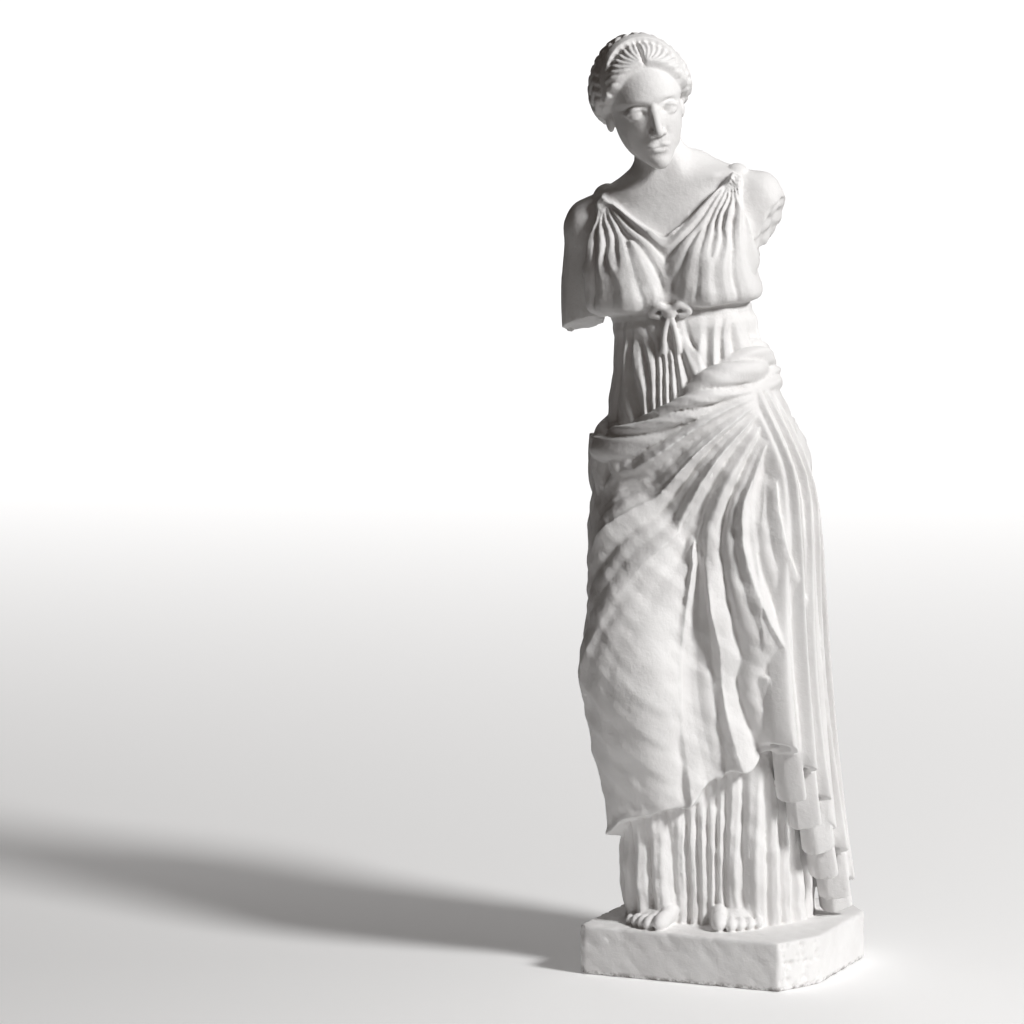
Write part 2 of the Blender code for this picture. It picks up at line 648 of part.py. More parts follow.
def add_roll(clay):
    """The mantle's rolled edge: two loose strands of gathered cloth that twist round the hips."""
    sides, stops = 48, 180
    for strand in (0, 1):
        rings = []
        for i in range(stops + 1):
            angle = -180 + 360 * i / stops
            radians = math.radians(angle)
            middle, reach = surface_reach(angle, float(roll_line(angle)))
            out = np.array((math.sin(radians), -math.cos(radians), 0))
            swap = math.pi * strand + 1.0 * radians + 0.9
            bunch = math.exp(-(((angle + 62) / 42) ** 2))
            centre = middle + (0.0075 * math.cos(swap) + 0.004 * bunch) * out
            centre = centre + np.array((0, 0, 0.0165 * math.sin(swap) - 0.008 * bunch))
            size = 0.0180 + 0.0035 * math.sin(radians + 0.9 + 2 * strand) + 0.0018 * math.sin(5 * radians)
            size += 0.0045 * bunch
            ring = []
            for j in range(sides):
                turn = 2 * math.pi * j / sides
                twist = 2.5 * turn + 5.0 * radians + 0.6 * math.sin(2 * turn + 3 * radians) + strand
                groove = abs(math.sin(twist)) ** 0.7
                fine = abs(math.sin(2 * twist + 4 * math.sin(2 * radians)))
                radius = size * (0.66 + 0.38 * groove + 0.10 * fine)
                ring.append(centre + radius * (math.cos(turn) * out + math.sin(turn) * np.array((0, 0, 1))))
            rings.append(ring)
        loft(clay, rings)


def add_fall(clay):
    """The mantle's end: pressed folds that fall from under the roll, each cut off lower than the last."""
    way = math.radians(FALL_ANGLE)
    out = np.array((math.sin(way), -math.cos(way), 0))
    sideways = np.array((math.cos(way), math.sin(way), 0))
    last = len(FALL_HEMS) - 1
    stops, sides = 60, 36
    for k, hem in enumerate(FALL_HEMS):
        w = 2 * k / last - 1
        rings = []
        for i in range(stops + 1):
            t = i / stops
            ring = []
            for j in range(sides):
                turn = 2 * math.pi * j / sides
                # The hem slants one way on one fold and back on the next
                low = hem + FALL_SLANT * math.cos(turn) * (1 if k % 2 else -1)
                height = FALL_TOP + t * (low - FALL_TOP)
                here, reach = surface_reach(FALL_ANGLE, height)
                spread = FALL_WIDTH * (0.40 + 0.60 * t**0.7)
                wide = spread * (1.70 / last) * (1 + 0.12 * math.sin(9 * t + 2.3 * k))
                deep = 0.007 + 0.012 * min(1, 5 * t) * (1 - 0.45 * (k % 2)) + 0.006 * t
                # Each fold has a sharp ridge that leans to one side, and a shallow groove beside it
                ridge = math.sin(turn)
                if ridge > 0:
                    ridge = ridge**1.7 + 0.16 * math.sin(3 * turn + k)
                lean = 0.45 * wide * max(ridge, 0)
                middle = spread * w + 0.003 * math.sin(6 * t + 1.7 * k) + lean
                push = 0.006 + 0.010 * min(1, 4 * t) + FALL_SPREAD * t**2 - 0.012 * w * w
                point = here + (push + deep * ridge) * out + (middle + wide * math.cos(turn)) * sideways
                ring.append((point[0], point[1], height))
            rings.append(ring)
        # The folds are open at the hem
        end = np.array(rings[-1])
        heart = end.mean(axis=0)
        for inward, upward in ((0.40, 0.0), (0.46, 0.006), (0.60, 0.022)):
            rings.append(end + inward * (heart - end) + np.array((0, 0, upward)))
        loft(clay, rings[::-1])


def add_tuck(clay):
    """The end of the roll, pulled out and hanging in crumpled folds over the right hip."""
    for angle, drop, size in TUCKS:
        line = float(roll_line(angle))
        stations = []
        for t in (0.0, 0.25, 0.5, 0.75, 1.0):
            here, reach = surface_reach(angle + 3 * math.sin(3 * t + angle), line + 0.006 - drop * t)
            out = np.array((math.sin(math.radians(angle)), -math.cos(math.radians(angle)), 0))
            here = here + (0.017 + 0.002 * math.sin(6 * t + angle)) * out
            stations.append((*here, size * (0.70 + 0.40 * math.sin(math.pi * min(1, 0.2 + 0.72 * t)))))
        limb(clay, stations, 16)


def add_foot(clay, x, y, turn):
    """A bare foot on the ground, toes forward, turned out by an angle in degrees."""
    way = Matrix.Translation((x, y, 0)) @ Matrix.Rotation(math.radians(turn), 4, "Z")
    side = -1 if x < 0 else 1
    for i, (reach, size) in enumerate(TOES):
        across = side * (-0.019 + 0.0104 * i + (0.0032 if i else 0))
        tip = way @ Vector((across, reach - 0.012, size * 0.95))
        lump(clay, tip, (size * 0.92, size * 1.7, size), (12, 0, turn))
        knuckle = way @ Vector((across * 0.94, reach + 0.006, size * 1.30))
        lump(clay, knuckle, (size * 0.95, size * 1.9, size * 1.05), (24, 0, turn))
    instep = way @ Vector((0, 0.038, 0.013))
    lump(clay, instep, (0.0265, 0.048, 0.019), (14, 0, turn))


# Each toe's reach behind the second one and its radius, from the big toe outward
TOES = ((0.001, 0.0098), (-0.002, 0.0076), (0.002, 0.0070), (0.007, 0.0066), (0.013, 0.0060))


def add_trim(clay):
    """Shoulder brooches and the girdle's knot."""
    pair(clay, (0.077, 0.002, 0.831), (0.0130, 0.0125, 0.0095), (20, 24, 0))
    lump(clay, (0.004, -0.064, GIRDLE_HEIGHT), (0.0090, 0.0075, 0.0078))
    for side in (1, -1):
        limb(
            clay,
            (
                (0.004, -0.065, GIRDLE_HEIGHT, 0.0040),
                (0.004 + side * 0.012, -0.068, GIRDLE_HEIGHT + 0.007, 0.0042),
                (0.004 + side * 0.022, -0.063, GIRDLE_HEIGHT - 0.001, 0.0040),
                (0.004 + side * 0.010, -0.064, GIRDLE_HEIGHT - 0.005, 0.0036),
            ),
            12,
        )
        limb(
            clay,
            (
                (0.004, -0.064, GIRDLE_HEIGHT - 0.002, 0.0038),
                (0.004 + side * 0.006, -0.069, GIRDLE_HEIGHT - 0.022, 0.0034),
                (0.004 + side * 0.009, -0.068, GIRDLE_HEIGHT - 0.046, 0.0040),
            ),
            12,
        )


# How far the shoulders drop to the left and turn to the left, in degrees, how far the trunk
# leans to the left, and the break of each arm: a point on it, the way it faces and the way the arm ran
SHOULDER_TILT = -9.0
SHOULDER_TWIST = 4.0
LEAN = -0.051
RIGHT_BREAK = ((-0.112, 0.012, 0.680), (0.20, -0.35, -1.0), (-0.10, -0.085, -0.99))
LEFT_BREAK = ((0.113, 0.008, 0.772), (0.85, -0.20, -0.50), (0.60, -0.07, -0.80))


def break_arms(body):
    """Flattens the skin of each arm's end onto the plane where it broke off."""
    points = points_of(body)
    for centre, facing, run in (RIGHT_BREAK, LEFT_BREAK):
        facing = np.array(facing) / np.linalg.norm(facing)
        offset = points - np.array(centre)
        beyond = offset @ facing
        near = np.linalg.norm(offset - np.outer(beyond, facing), axis=1) < 0.045
        near &= (beyond > 0) & (beyond < 0.06)
        rough = ragged(points[near], 0.011) * 0.0030
        points[near] -= np.outer((beyond[near] - rough) / np.dot(run, facing), run)
    set_points(body, points)


def sway(points):
    """Leans and turns the trunk above the hips."""
    middle = along(TRUNK, points[:, 2])
    share = smooth_step(0.56, 0.80, points[:, 2])
    tilt, twist = np.radians(SHOULDER_TILT) * share, np.radians(SHOULDER_TWIST) * share
    x, y = points[:, 0] - middle[:, 0], points[:, 1] - middle[:, 1]
    x, y = x * np.cos(twist) - y * np.sin(twist), x * np.sin(twist) + y * np.cos(twist)
    z = points[:, 2] - x * np.sin(tilt)
    x = x * np.cos(tilt) + LEAN * smooth_step(0.10, 0.92, points[:, 2])
    return np.column_stack([x + middle[:, 0], y + middle[:, 1], z])


def join(name, *objects):
    clay = bmesh.new()
    for obj in objects:
        clay.from_mesh(obj.data)
        bpy.data.objects.remove(obj)
    return as_object(name, clay)


def figure():
    body = as_object("goddess_statue", body_clay())
    fuse(body, CLAY_GRAIN, 14)
    fuse(body, SKIN_GRAIN, 3)
    dress(body)
    break_arms(body)
    set_points(body, sway(points_of(body)))
    extras = bmesh.new()
    add_roll(extras)
    add_fall(extras)
    add_tuck(extras)
    add_foot(extras, -0.049, -0.100, -14)
    add_foot(extras, 0.046, -0.092, 12)
    add_trim(extras)
    extras = as_object("extras", extras)
    set_points(extras, sway(points_of(extras)))
    head = head_of(HEAD_GRAIN / HEAD_HEIGHT)
    place = Matrix.Translation((LEAN - 0.025, -0.002, CHIN_HEIGHT + 0.30 * HEAD_HEIGHT))
    turn = Euler([math.radians(a) for a in HEAD_TURN]).to_matrix().to_4x4()
    size = Matrix.Scale(HEAD_HEIGHT, 4) @ Matrix.Translation((0, -0.05, -0.30))
    head.data.transform(place @ turn @ size)
    return join("goddess_statue", body, extras, head)


def plinth():
    """The low plinth, cast in one with the figure: its right front corner is cut off."""
    right, back = PLINTH_LENGTH / 2, PLINTH_DEPTH / 2
    corners = (
        (-right, -back + FRONT_LEFT_CUT[1]),
        (-right + FRONT_LEFT_CUT[0], -back),
        (right - FRONT_RIGHT_CUT[0], -back),
        (right, -back + FRONT_RIGHT_CUT[1]),
        (right, back - BACK_RIGHT_CUT[1]),
        (right - BACK_RIGHT_CUT[0], back),
        (-right + BACK_LEFT_CUT[0], back),
        (-right, back - BACK_LEFT_CUT[1]),
    )
    clay = bmesh.new()
    loft(clay, [[(x, y, z) for x, y in corners] for z in (0.0, PLINTH_HEIGHT)])
    block = as_object("plinth", clay)
    edge = block.modifiers.new("edge", "BEVEL")
    edge.width = PLINTH_EDGE
    edge.segments = 2
    edge.limit_method = "ANGLE"
    edge.angle_limit = math.radians(30)
    evaluated(block)
    return block


def swell(points, back=False):
    """Enlarges the head, so that it is fused more finely and keeps more faces, or takes that back."""
    heights = np.linspace(-0.1, 1.1, 600)
    share = smooth_step(CHIN_HEIGHT - 0.05, CHIN_HEIGHT + 0.01, heights)
    sizes = 1 + (HEAD_CARE - 1) * share
    lifted = heights[0] + np.concatenate([[0], np.cumsum(np.diff(heights) * (sizes[1:] + sizes[:-1]) / 2)])
    x, y, z = points.T
    low = np.interp(z, lifted, heights) if back else z
    size = np.interp(low, heights, sizes)
    if back:
        return np.column_stack([x / size, y / size, low])
    return np.column_stack([x * size, y * size, np.interp(z, heights, lifted)])


def skin_over(body, grain, faces):
    """Makes one skin of all the pieces and leaves about so many triangles of it."""
    set_points(body, swell(points_of(body)))
    fuse(body, grain, 1)
    cut = body.modifiers.new("thin", "DECIMATE")
    cut.ratio = faces / (2 * len(body.data.polygons))
    cut.use_collapse_triangulate = True
    evaluated(body)
    set_points(body, swell(points_of(body), back=True))


def plaster():
    material = bpy.data.materials.new("white plaster")
    material.use_nodes = True
    surface = material.node_tree.nodes["Principled BSDF"]
    surface.inputs["Base Color"].default_value = (0.84, 0.83, 0.82, 1)
    surface.inputs["Roughness"].default_value = 0.75
    surface.inputs["Metallic"].default_value = 0.0
    return material


def main():
    for obj in list(bpy.data.objects):
        bpy.data.objects.remove(obj)
    body = figure()
    skin_over(body, WHOLE_GRAIN, FIGURE_TRIANGLES)
    place = Matrix.Translation((*FIGURE_PLACE, PLINTH_HEIGHT))
    turn = Matrix.Rotation(math.radians(FIGURE_TURN), 4, "Z")
    body.data.transform(place @ turn @ Matrix.Scale(FIGURE_HEIGHT, 4))
    block = plinth()
    cast = body.modifiers.new("cast", "BOOLEAN")
    cast.operation = "UNION"
    cast.solver = "EXACT"
    cast.object = block
    evaluated(body)
    bpy.data.objects.remove(block)
    body.data.materials.clear()
    body.data.materials.append(plaster())


main()
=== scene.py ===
"""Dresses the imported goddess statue: the same carving at a finer grain, in white plaster, on a white
paper sweep in a dim studio."""

import math

import bmesh
import bpy
import numpy as np
from mathutils import Euler, Matrix, Vector


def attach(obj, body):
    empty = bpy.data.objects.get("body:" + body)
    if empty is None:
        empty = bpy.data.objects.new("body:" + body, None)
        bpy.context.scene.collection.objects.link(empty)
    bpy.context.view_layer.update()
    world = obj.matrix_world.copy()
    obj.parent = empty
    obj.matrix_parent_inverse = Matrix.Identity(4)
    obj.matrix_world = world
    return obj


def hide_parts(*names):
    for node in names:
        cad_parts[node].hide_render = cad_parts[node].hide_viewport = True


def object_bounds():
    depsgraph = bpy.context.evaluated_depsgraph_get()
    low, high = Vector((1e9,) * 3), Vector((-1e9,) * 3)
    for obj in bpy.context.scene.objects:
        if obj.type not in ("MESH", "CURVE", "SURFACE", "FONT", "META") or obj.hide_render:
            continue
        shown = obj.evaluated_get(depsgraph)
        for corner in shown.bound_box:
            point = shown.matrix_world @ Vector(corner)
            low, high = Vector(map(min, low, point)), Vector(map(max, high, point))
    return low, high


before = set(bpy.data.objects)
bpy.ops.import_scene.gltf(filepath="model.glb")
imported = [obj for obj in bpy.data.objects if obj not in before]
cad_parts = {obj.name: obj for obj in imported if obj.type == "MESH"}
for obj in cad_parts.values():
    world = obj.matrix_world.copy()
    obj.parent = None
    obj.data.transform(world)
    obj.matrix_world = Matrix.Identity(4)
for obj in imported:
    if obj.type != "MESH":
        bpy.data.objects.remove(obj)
solid_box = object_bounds()

# Driving sizes, in metres
FIGURE_HEIGHT = 0.398
PLINTH_LENGTH = 0.108
PLINTH_DEPTH = 0.100
PLINTH_HEIGHT = 0.022
# How much is cut off each corner of the plinth, along its front or back and along its side
FRONT_RIGHT_CUT = (0.011, 0.023)
BACK_RIGHT_CUT = (0.016, 0.020)
BACK_LEFT_CUT = (0.014, 0.012)
FRONT_LEFT_CUT = (0.003, 0.003)
PLINTH_EDGE = 0.0012
# Where the figure stands on the plinth, and how far it is turned to its left, in degrees
FIGURE_PLACE = (-0.011, 0.006)
FIGURE_TURN = 10.0

# How finely the clay is fused, as a share of the figure's height: the rough body, the skin that
# the folds are cut into, the head, and the whole figure at the end
CLAY_GRAIN = 0.0070
SKIN_GRAIN = 0.0014
HEAD_GRAIN = 0.0008
WHOLE_GRAIN = 0.0013
# The same for the bare skull, as a share of the head's height
SKULL_GRAIN = 0.022
# The triangles left at the end, and how much finer the head is than the rest
FIGURE_TRIANGLES = 190000
HEAD_CARE = 1.8

# The head, as shares of the figure's height
HEAD_HEIGHT = 0.142
CHIN_HEIGHT = 0.853
# How far the head nods, leans to its left and turns to its left, in degrees
HEAD_TURN = (9.0, -11.0, 24.0)


def smooth_step(low, high, x):
    """0 below low, 1 above high, and a smooth rise between them."""
    t = np.clip((x - low) / (high - low), 0.0, 1.0)
    return t * t * (3.0 - 2.0 * t)


def along(stations, x):
    """The stations' columns at x, on a smooth curve through their rows; the first column is x."""
    stations = np.asarray(stations, float)
    knots, values = stations[:, 0], stations[:, 1:]
    slopes = np.gradient(values, knots, axis=0)
    x = np.clip(np.asarray(x, float), knots[0], knots[-1])
    i = np.clip(np.searchsorted(knots, x) - 1, 0, len(knots) - 2)
    gap = (knots[i + 1] - knots[i])[..., None]
    t = (x - knots[i])[..., None] / gap
    return (
        (2 * t**3 - 3 * t**2 + 1) * values[i]
        + (t**3 - 2 * t**2 + t) * gap * slopes[i]
        + (3 * t**2 - 2 * t**3) * values[i + 1]
        + (t**3 - t**2) * gap * slopes[i + 1]
    )


def loft(clay, rings):
    """Adds a closed skin through rings of as many points each, the first and last filled flat."""
    rows = [[clay.verts.new(point) for point in ring] for ring in rings]
    count = len(rows[0])
    for low, high in zip(rows, rows[1:]):
        for i in range(count):
            j = (i + 1) % count
            clay.faces.new((low[i], low[j], high[j], high[i]))
    clay.faces.new(rows[0][::-1])
    clay.faces.new(rows[-1])


def limb(clay, stations, sides=24):
    """Adds a round limb through stations of (x, y, z, radius), with flat ends."""
    stations = np.asarray(stations, float)
    steps = np.linspace(0, len(stations) - 1, 6 * len(stations))
    rows = along(np.column_stack([np.arange(len(stations)), stations]), steps)
    centres, radii = rows[:, :3], rows[:, 3]
    tangents = np.gradient(centres, axis=0)
    angles = np.linspace(0, 2 * np.pi, sides, endpoint=False)
    rings = []
    side = Vector((1, 0, 0))
    for centre, radius, tangent in zip(centres, radii, tangents):
        forward = Vector(tangent).normalized()
        side = (side - forward * side.dot(forward)).normalized()
        up = forward.cross(side)
        reach = [math.cos(a) * side + math.sin(a) * up for a in angles]
        rings.append([Vector(centre) + float(radius) * way for way in reach])
    loft(clay, rings)


def lump(clay, centre, radii, turn=(0, 0, 0)):
    """Adds an ellipsoid, turned by Euler angles in degrees."""
    rotation = Euler([math.radians(a) for a in turn]).to_matrix().to_4x4()
    place = Matrix.Translation(centre) @ rotation @ Matrix.Diagonal((*radii, 1))
    bmesh.ops.create_icosphere(clay, subdivisions=4, radius=1, matrix=place)


def pair(clay, centre, radii, turn=(0, 0, 0)):
    """Adds an ellipsoid and its mirror image on the other side of the middle plane."""
    x, y, z = centre
    a, b, c = turn
    lump(clay, (x, y, z), radii, (a, b, c))
    lump(clay, (-x, y, z), radii, (a, -b, -c))


def as_object(name, clay):
    mesh = bpy.data.meshes.new(name)
    clay.to_mesh(mesh)
    clay.free()
    result = bpy.data.objects.new(name, mesh)
    bpy.context.scene.collection.objects.link(result)
    return result


def evaluated(figure):
    """Applies the object's modifiers."""
    graph = bpy.context.evaluated_depsgraph_get()
    mesh = bpy.data.meshes.new_from_object(figure.evaluated_get(graph))
    old = figure.data
    figure.modifiers.clear()
    figure.data = mesh
    bpy.data.meshes.remove(old)


def fuse(figure, grain, rounds):
    """Makes one skin of all the clay, and rubs it smooth."""
    skin = figure.modifiers.new("skin", "REMESH")
    skin.mode = "VOXEL"
    skin.voxel_size = grain
    skin.use_smooth_shade = True
    if rounds:
        rub = figure.modifiers.new("rub", "SMOOTH")
        rub.factor = 0.5
        rub.iterations = rounds
    evaluated(figure)


def points_of(figure):
    points = np.empty(len(figure.data.vertices) * 3)
    figure.data.vertices.foreach_get("co", points)
    return points.reshape(-1, 3)


def normals_of(figure):
    normals = np.empty(len(figure.data.vertices) * 3)
    figure.data.vertices.foreach_get("normal", normals)
    return normals.reshape(-1, 3)


def set_points(figure, points):
    figure.data.vertices.foreach_set("co", points.ravel())
    figure.data.update()


# The trunk and skirt, bottom to top: height, sideways and forward shift of the middle,
# half width, depth to the front, depth to the back
TRUNK = (
    (-0.02, 0.010, 0.000, 0.101, 0.080, 0.088),
    (0.04, 0.010, 0.000, 0.097, 0.074, 0.083),
    (0.12, 0.010, 0.000, 0.092, 0.067, 0.077),
    (0.20, 0.010, 0.000, 0.090, 0.064, 0.073),
    (0.28, 0.011, -0.002, 0.092, 0.064, 0.072),
    (0.36, 0.013, -0.004, 0.096, 0.068, 0.074),
    (0.44, 0.016, -0.004, 0.101, 0.072, 0.082),
    (0.50, 0.018, -0.004, 0.102, 0.072, 0.090),
    (0.54, 0.018, -0.006, 0.099, 0.070, 0.086),
    (0.58, 0.017, -0.008, 0.090, 0.066, 0.074),
    (0.62, 0.014, -0.006, 0.078, 0.059, 0.059),
    (0.655, 0.009, -0.002, 0.071, 0.053, 0.054),
    (0.69, 0.005, 0.002, 0.073, 0.052, 0.059),
    (0.73, 0.002, 0.005, 0.081, 0.055, 0.064),
    (0.77, 0.000, 0.008, 0.087, 0.053, 0.062),
    (0.80, 0.000, 0.011, 0.086, 0.045, 0.054),
    (0.82, 0.000, 0.013, 0.072, 0.038, 0.044),
    (0.838, 0.000, 0.013, 0.046, 0.032, 0.036),
    (0.85, 0.000, 0.011, 0.030, 0.028, 0.030),
)
TRUNK_ROUNDNESS = 2.3
# Limbs, as stations of the middle's x, y and z and the radius
RIGHT_ARM = (
    (-0.090, 0.012, 0.803, 0.029),
    (-0.100, 0.015, 0.768, 0.0295),
    (-0.109, 0.016, 0.710, 0.0275),
    (-0.114, 0.010, 0.640, 0.0245),
)
LEFT_ARM = (
    (0.093, 0.012, 0.803, 0.029),
    (0.105, 0.011, 0.780, 0.030),
    (0.115, 0.009, 0.752, 0.029),
)
# The bent right leg and the straight left one, with the cloth that hangs on them
RIGHT_LEG = (
    (-0.030, -0.004, 0.500, 0.062),
    (-0.044, -0.046, 0.410, 0.056),
    (-0.057, -0.088, 0.320, 0.046),
    (-0.059, -0.098, 0.280, 0.042),
    (-0.056, -0.088, 0.220, 0.039),
    (-0.048, -0.064, 0.120, 0.036),
    (-0.044, -0.050, -0.02, 0.036),
)
LEFT_LEG = (
    (0.064, -0.010, 0.480, 0.062),
    (0.058, -0.030, 0.380, 0.056),
    (0.052, -0.034, 0.280, 0.046),
    (0.049, -0.030, 0.200, 0.044),
    (0.048, -0.036, -0.02, 0.044),
)
# The cloth stretched between the legs
BETWEEN_LEGS = (
    (0.006, -0.036, 0.440, 0.036),
    (-0.002, -0.060, 0.330, 0.033),
    (-0.004, -0.062, 0.230, 0.033),
    (0.000, -0.050, 0.120, 0.034),
    (0.000, -0.044, -0.02, 0.034),
)
NECK = (
    (0.000, 0.018, 0.800, 0.041),
    (-0.004, 0.014, 0.832, 0.0325),
    (-0.011, 0.007, 0.862, 0.0285),
    (-0.021, 0.003, 0.905, 0.0280),
)


def trunk_ring(height, sides=96):
    x, y, width, front, back = along(TRUNK, np.array([height]))[0]
    angles = np.linspace(0, 2 * np.pi, sides, endpoint=False)
    across, ahead = np.sin(angles), -np.cos(angles)
    depth = np.where(ahead < 0, front, back)
    power = TRUNK_ROUNDNESS
    reach = (np.abs(across / width) ** power + np.abs(ahead / depth) ** power) ** (-1 / power)
    return [(x + r * a, y + r * b, height) for r, a, b in zip(reach, across, ahead)]


def body_clay():
    clay = bmesh.new()
    heights = np.linspace(TRUNK[0][0], TRUNK[-1][0], 70)
    loft(clay, [trunk_ring(h) for h in heights])
    # Breasts, seat and belly
    pair(clay, (0.040, -0.033, 0.733), (0.038, 0.037, 0.037))
    pair(clay, (0.070, -0.022, 0.742), (0.022, 0.026, 0.050))
    lump(clay, (0.064, 0.045, 0.515), (0.056, 0.050, 0.056))
    lump(clay, (-0.024, 0.040, 0.505), (0.056, 0.050, 0.056))
    # Shoulders, and the slope from the neck to them
    pair(clay, (0.094, 0.012, 0.795), (0.034, 0.033, 0.037), (0, 24, 0))
    for side in (1, -1):
        limb(
            clay,
            (
                (side * 0.016, 0.016, 0.856, 0.020),
                (side * 0.045, 0.015, 0.828, 0.024),
                (side * 0.090, 0.012, 0.804, 0.026),
            ),
        )
    # Collar bones and the neck's muscles down to the pit between them
    for side in (1, -1):
        limb(
            clay,
            (
                (side * 0.008, -0.020, 0.825, 0.0070),
                (side * 0.045, -0.017, 0.832, 0.0070),
                (side * 0.080, -0.006, 0.829, 0.0080),
            ),
        )
        limb(
            clay,
            (
                (side * 0.021 - 0.015, 0.004, 0.885, 0.0075),
                (side * 0.019 - 0.007, -0.012, 0.858, 0.0075),
                (side * 0.008, -0.022, 0.826, 0.0060),
            ),
        )
    limb(clay, RIGHT_ARM)
    limb(clay, LEFT_ARM)
    limb(clay, RIGHT_LEG)
    limb(clay, LEFT_LEG)
    limb(clay, BETWEEN_LEGS)
    limb(clay, NECK)
    return clay


# The head is modelled in its own frame: z from 0 at the chin to 1 at the crown, the face to -Y
EYE_HEIGHT = 0.487
HEAD_CENTRE = np.array((0.0, 0.02, 0.55))
PARTING_START = np.array((0.0, -0.36, 0.85))
BUN_CENTRE = np.array((0.0, 0.47, 0.44))
FACE_WAY = np.array((0.0, -0.993, -0.119))
# The plane of the hair band: the way it faces and how far along that it lies
BAND_WAY = np.array((0.0, -0.91, 0.414))
BAND_PLACE = 0.43
# Angle round the face axis from the top, and the hairline's angle from that axis, in degrees
HAIRLINE = ((0, 50), (30, 47), (55, 47), (80, 56), (100, 74), (130, 100), (180, 112))


def dome(distance, width):
    """A smooth hump, 1 at no distance and near 0 past twice the width."""
    return np.exp(-((distance / width) ** 2))


def spot(points, centre, widths):
    """A smooth hump in space round a centre, with a width along each axis."""
    return np.exp(-(((points - np.array(centre)) / np.array(widths)) ** 2).sum(axis=1))


def twin_spots(points, centre, widths):
    mirrored = points * np.array((-1.0, 1.0, 1.0))
    return spot(points, centre, widths) + spot(mirrored, centre, widths)


def skull_clay():
    clay = bmesh.new()
    lump(clay, (0, 0.06, 0.64), (0.320, 0.410, 0.350))
    lump(clay, (0, -0.105, 0.43), (0.270, 0.300, 0.400))
    lump(clay, (0, -0.08, 0.60), (0.295, 0.320, 0.300))
    pair(clay, (0.100, -0.12, 0.235), (0.100, 0.180, 0.140), (0, 0, 24))
    lump(clay, (0, -0.240, 0.165), (0.150, 0.150, 0.140))
    lump(clay, (0, -0.315, 0.090), (0.090, 0.085, 0.085))
    lump(clay, (0, -0.275, 0.235), (0.165, 0.126, 0.120))
    pair(clay, (0.108, -0.182, 0.335), (0.138, 0.150, 0.165))
    return clay


def face_clay(skull):
    clay = bmesh.new()
    clay.from_mesh(skull.data)
    # Nose
    limb(
        clay,
        (
            (0, -0.350, 0.600, 0.040),
            (0, -0.385, 0.510, 0.034),
            (0, -0.424, 0.410, 0.034),
            (0, -0.452, 0.345, 0.036),
            (0, -0.435, 0.318, 0.032),
        ),
    )
    pair(clay, (0.046, -0.405, 0.325), (0.030, 0.046, 0.030))
    pair(clay, (0.034, -0.345, 0.420), (0.050, 0.062, 0.120), (0, -10, 0))
    # Eyeballs
    pair(clay, (0.128, -0.283, EYE_HEIGHT), (0.082, 0.082, 0.072))
    # Lips
    pair(clay, (0.034, -0.348, 0.224), (0.070, 0.056, 0.028), (0, 10, -26))
    lump(clay, (0, -0.350, 0.181), (0.080, 0.056, 0.033))
    # Ears
    pair(clay, (0.288, -0.005, 0.395), (0.034, 0.048, 0.085), (10, 0, 0))
    return clay


def around(points, start, end):
    """The angle of each point round the line from start to end, from straight up, and its way along."""
    line = (end - start) / np.linalg.norm(end - start)
    offset = points - start
    travel = offset @ line
    offset = offset - np.outer(travel, line)
    side = np.array((1.0, 0.0, 0.0))
    up = np.cross(side, line)
    return np.degrees(np.arctan2(offset @ side, offset @ up)), travel


def hair_depth(points):
    """How far inside the hairline each point lies, in degrees, negative on the face."""
    ways = points - HEAD_CENTRE
    ways /= np.linalg.norm(ways, axis=1)[:, None]
    from_face = np.degrees(np.arccos(np.clip(ways @ FACE_WAY, -1, 1)))
    up = np.cross(FACE_WAY, np.array((1.0, 0.0, 0.0)))
    turn = np.degrees(np.arctan2(np.abs(ways[:, 0]), ways @ up))
    return from_face - along(HAIRLINE, turn)[:, 0]


def dress_hair(head):
    points, normals = points_of(head), normals_of(head)
    depth = hair_depth(points)
    angle, travel = around(points, PARTING_START, BUN_CENTRE)
    cover = smooth_step(-1.0, 5.0, depth)
    # Three waves on each side of the parting, thick over the temples and ears
    wave = angle / 13.0 + 0.30 * np.sign(angle) * np.sin(2 * np.pi * travel / 0.17 + 0.6)
    strands = np.abs(np.sin(np.pi * wave)) ** 0.7
    fine = np.abs(np.sin(np.pi * (4 * wave + 0.15 * np.sin(9 * travel)))) ** 0.8
    side = smooth_step(40, 110, np.abs(angle))
    body = 0.030 + 0.045 * side * smooth_step(0, 18, depth)
    parting = 0.030 * dome(points[:, 0], 0.014) * smooth_step(0.9, 0.3, travel)
    locks = body + 0.022 * strands + 0.008 * fine - parting
    # A flat band over the crown and down behind the ears holds the hair
    from_band = np.abs(points @ BAND_WAY - BAND_PLACE)
    band = smooth_step(0.036, 0.030, from_band)
    pinched = locks - 0.016 * dome(from_band - 0.050, 0.020)
    lift = cover * (band * 0.068 + (1 - band) * pinched)
    set_points(head, points + normals * lift[:, None])


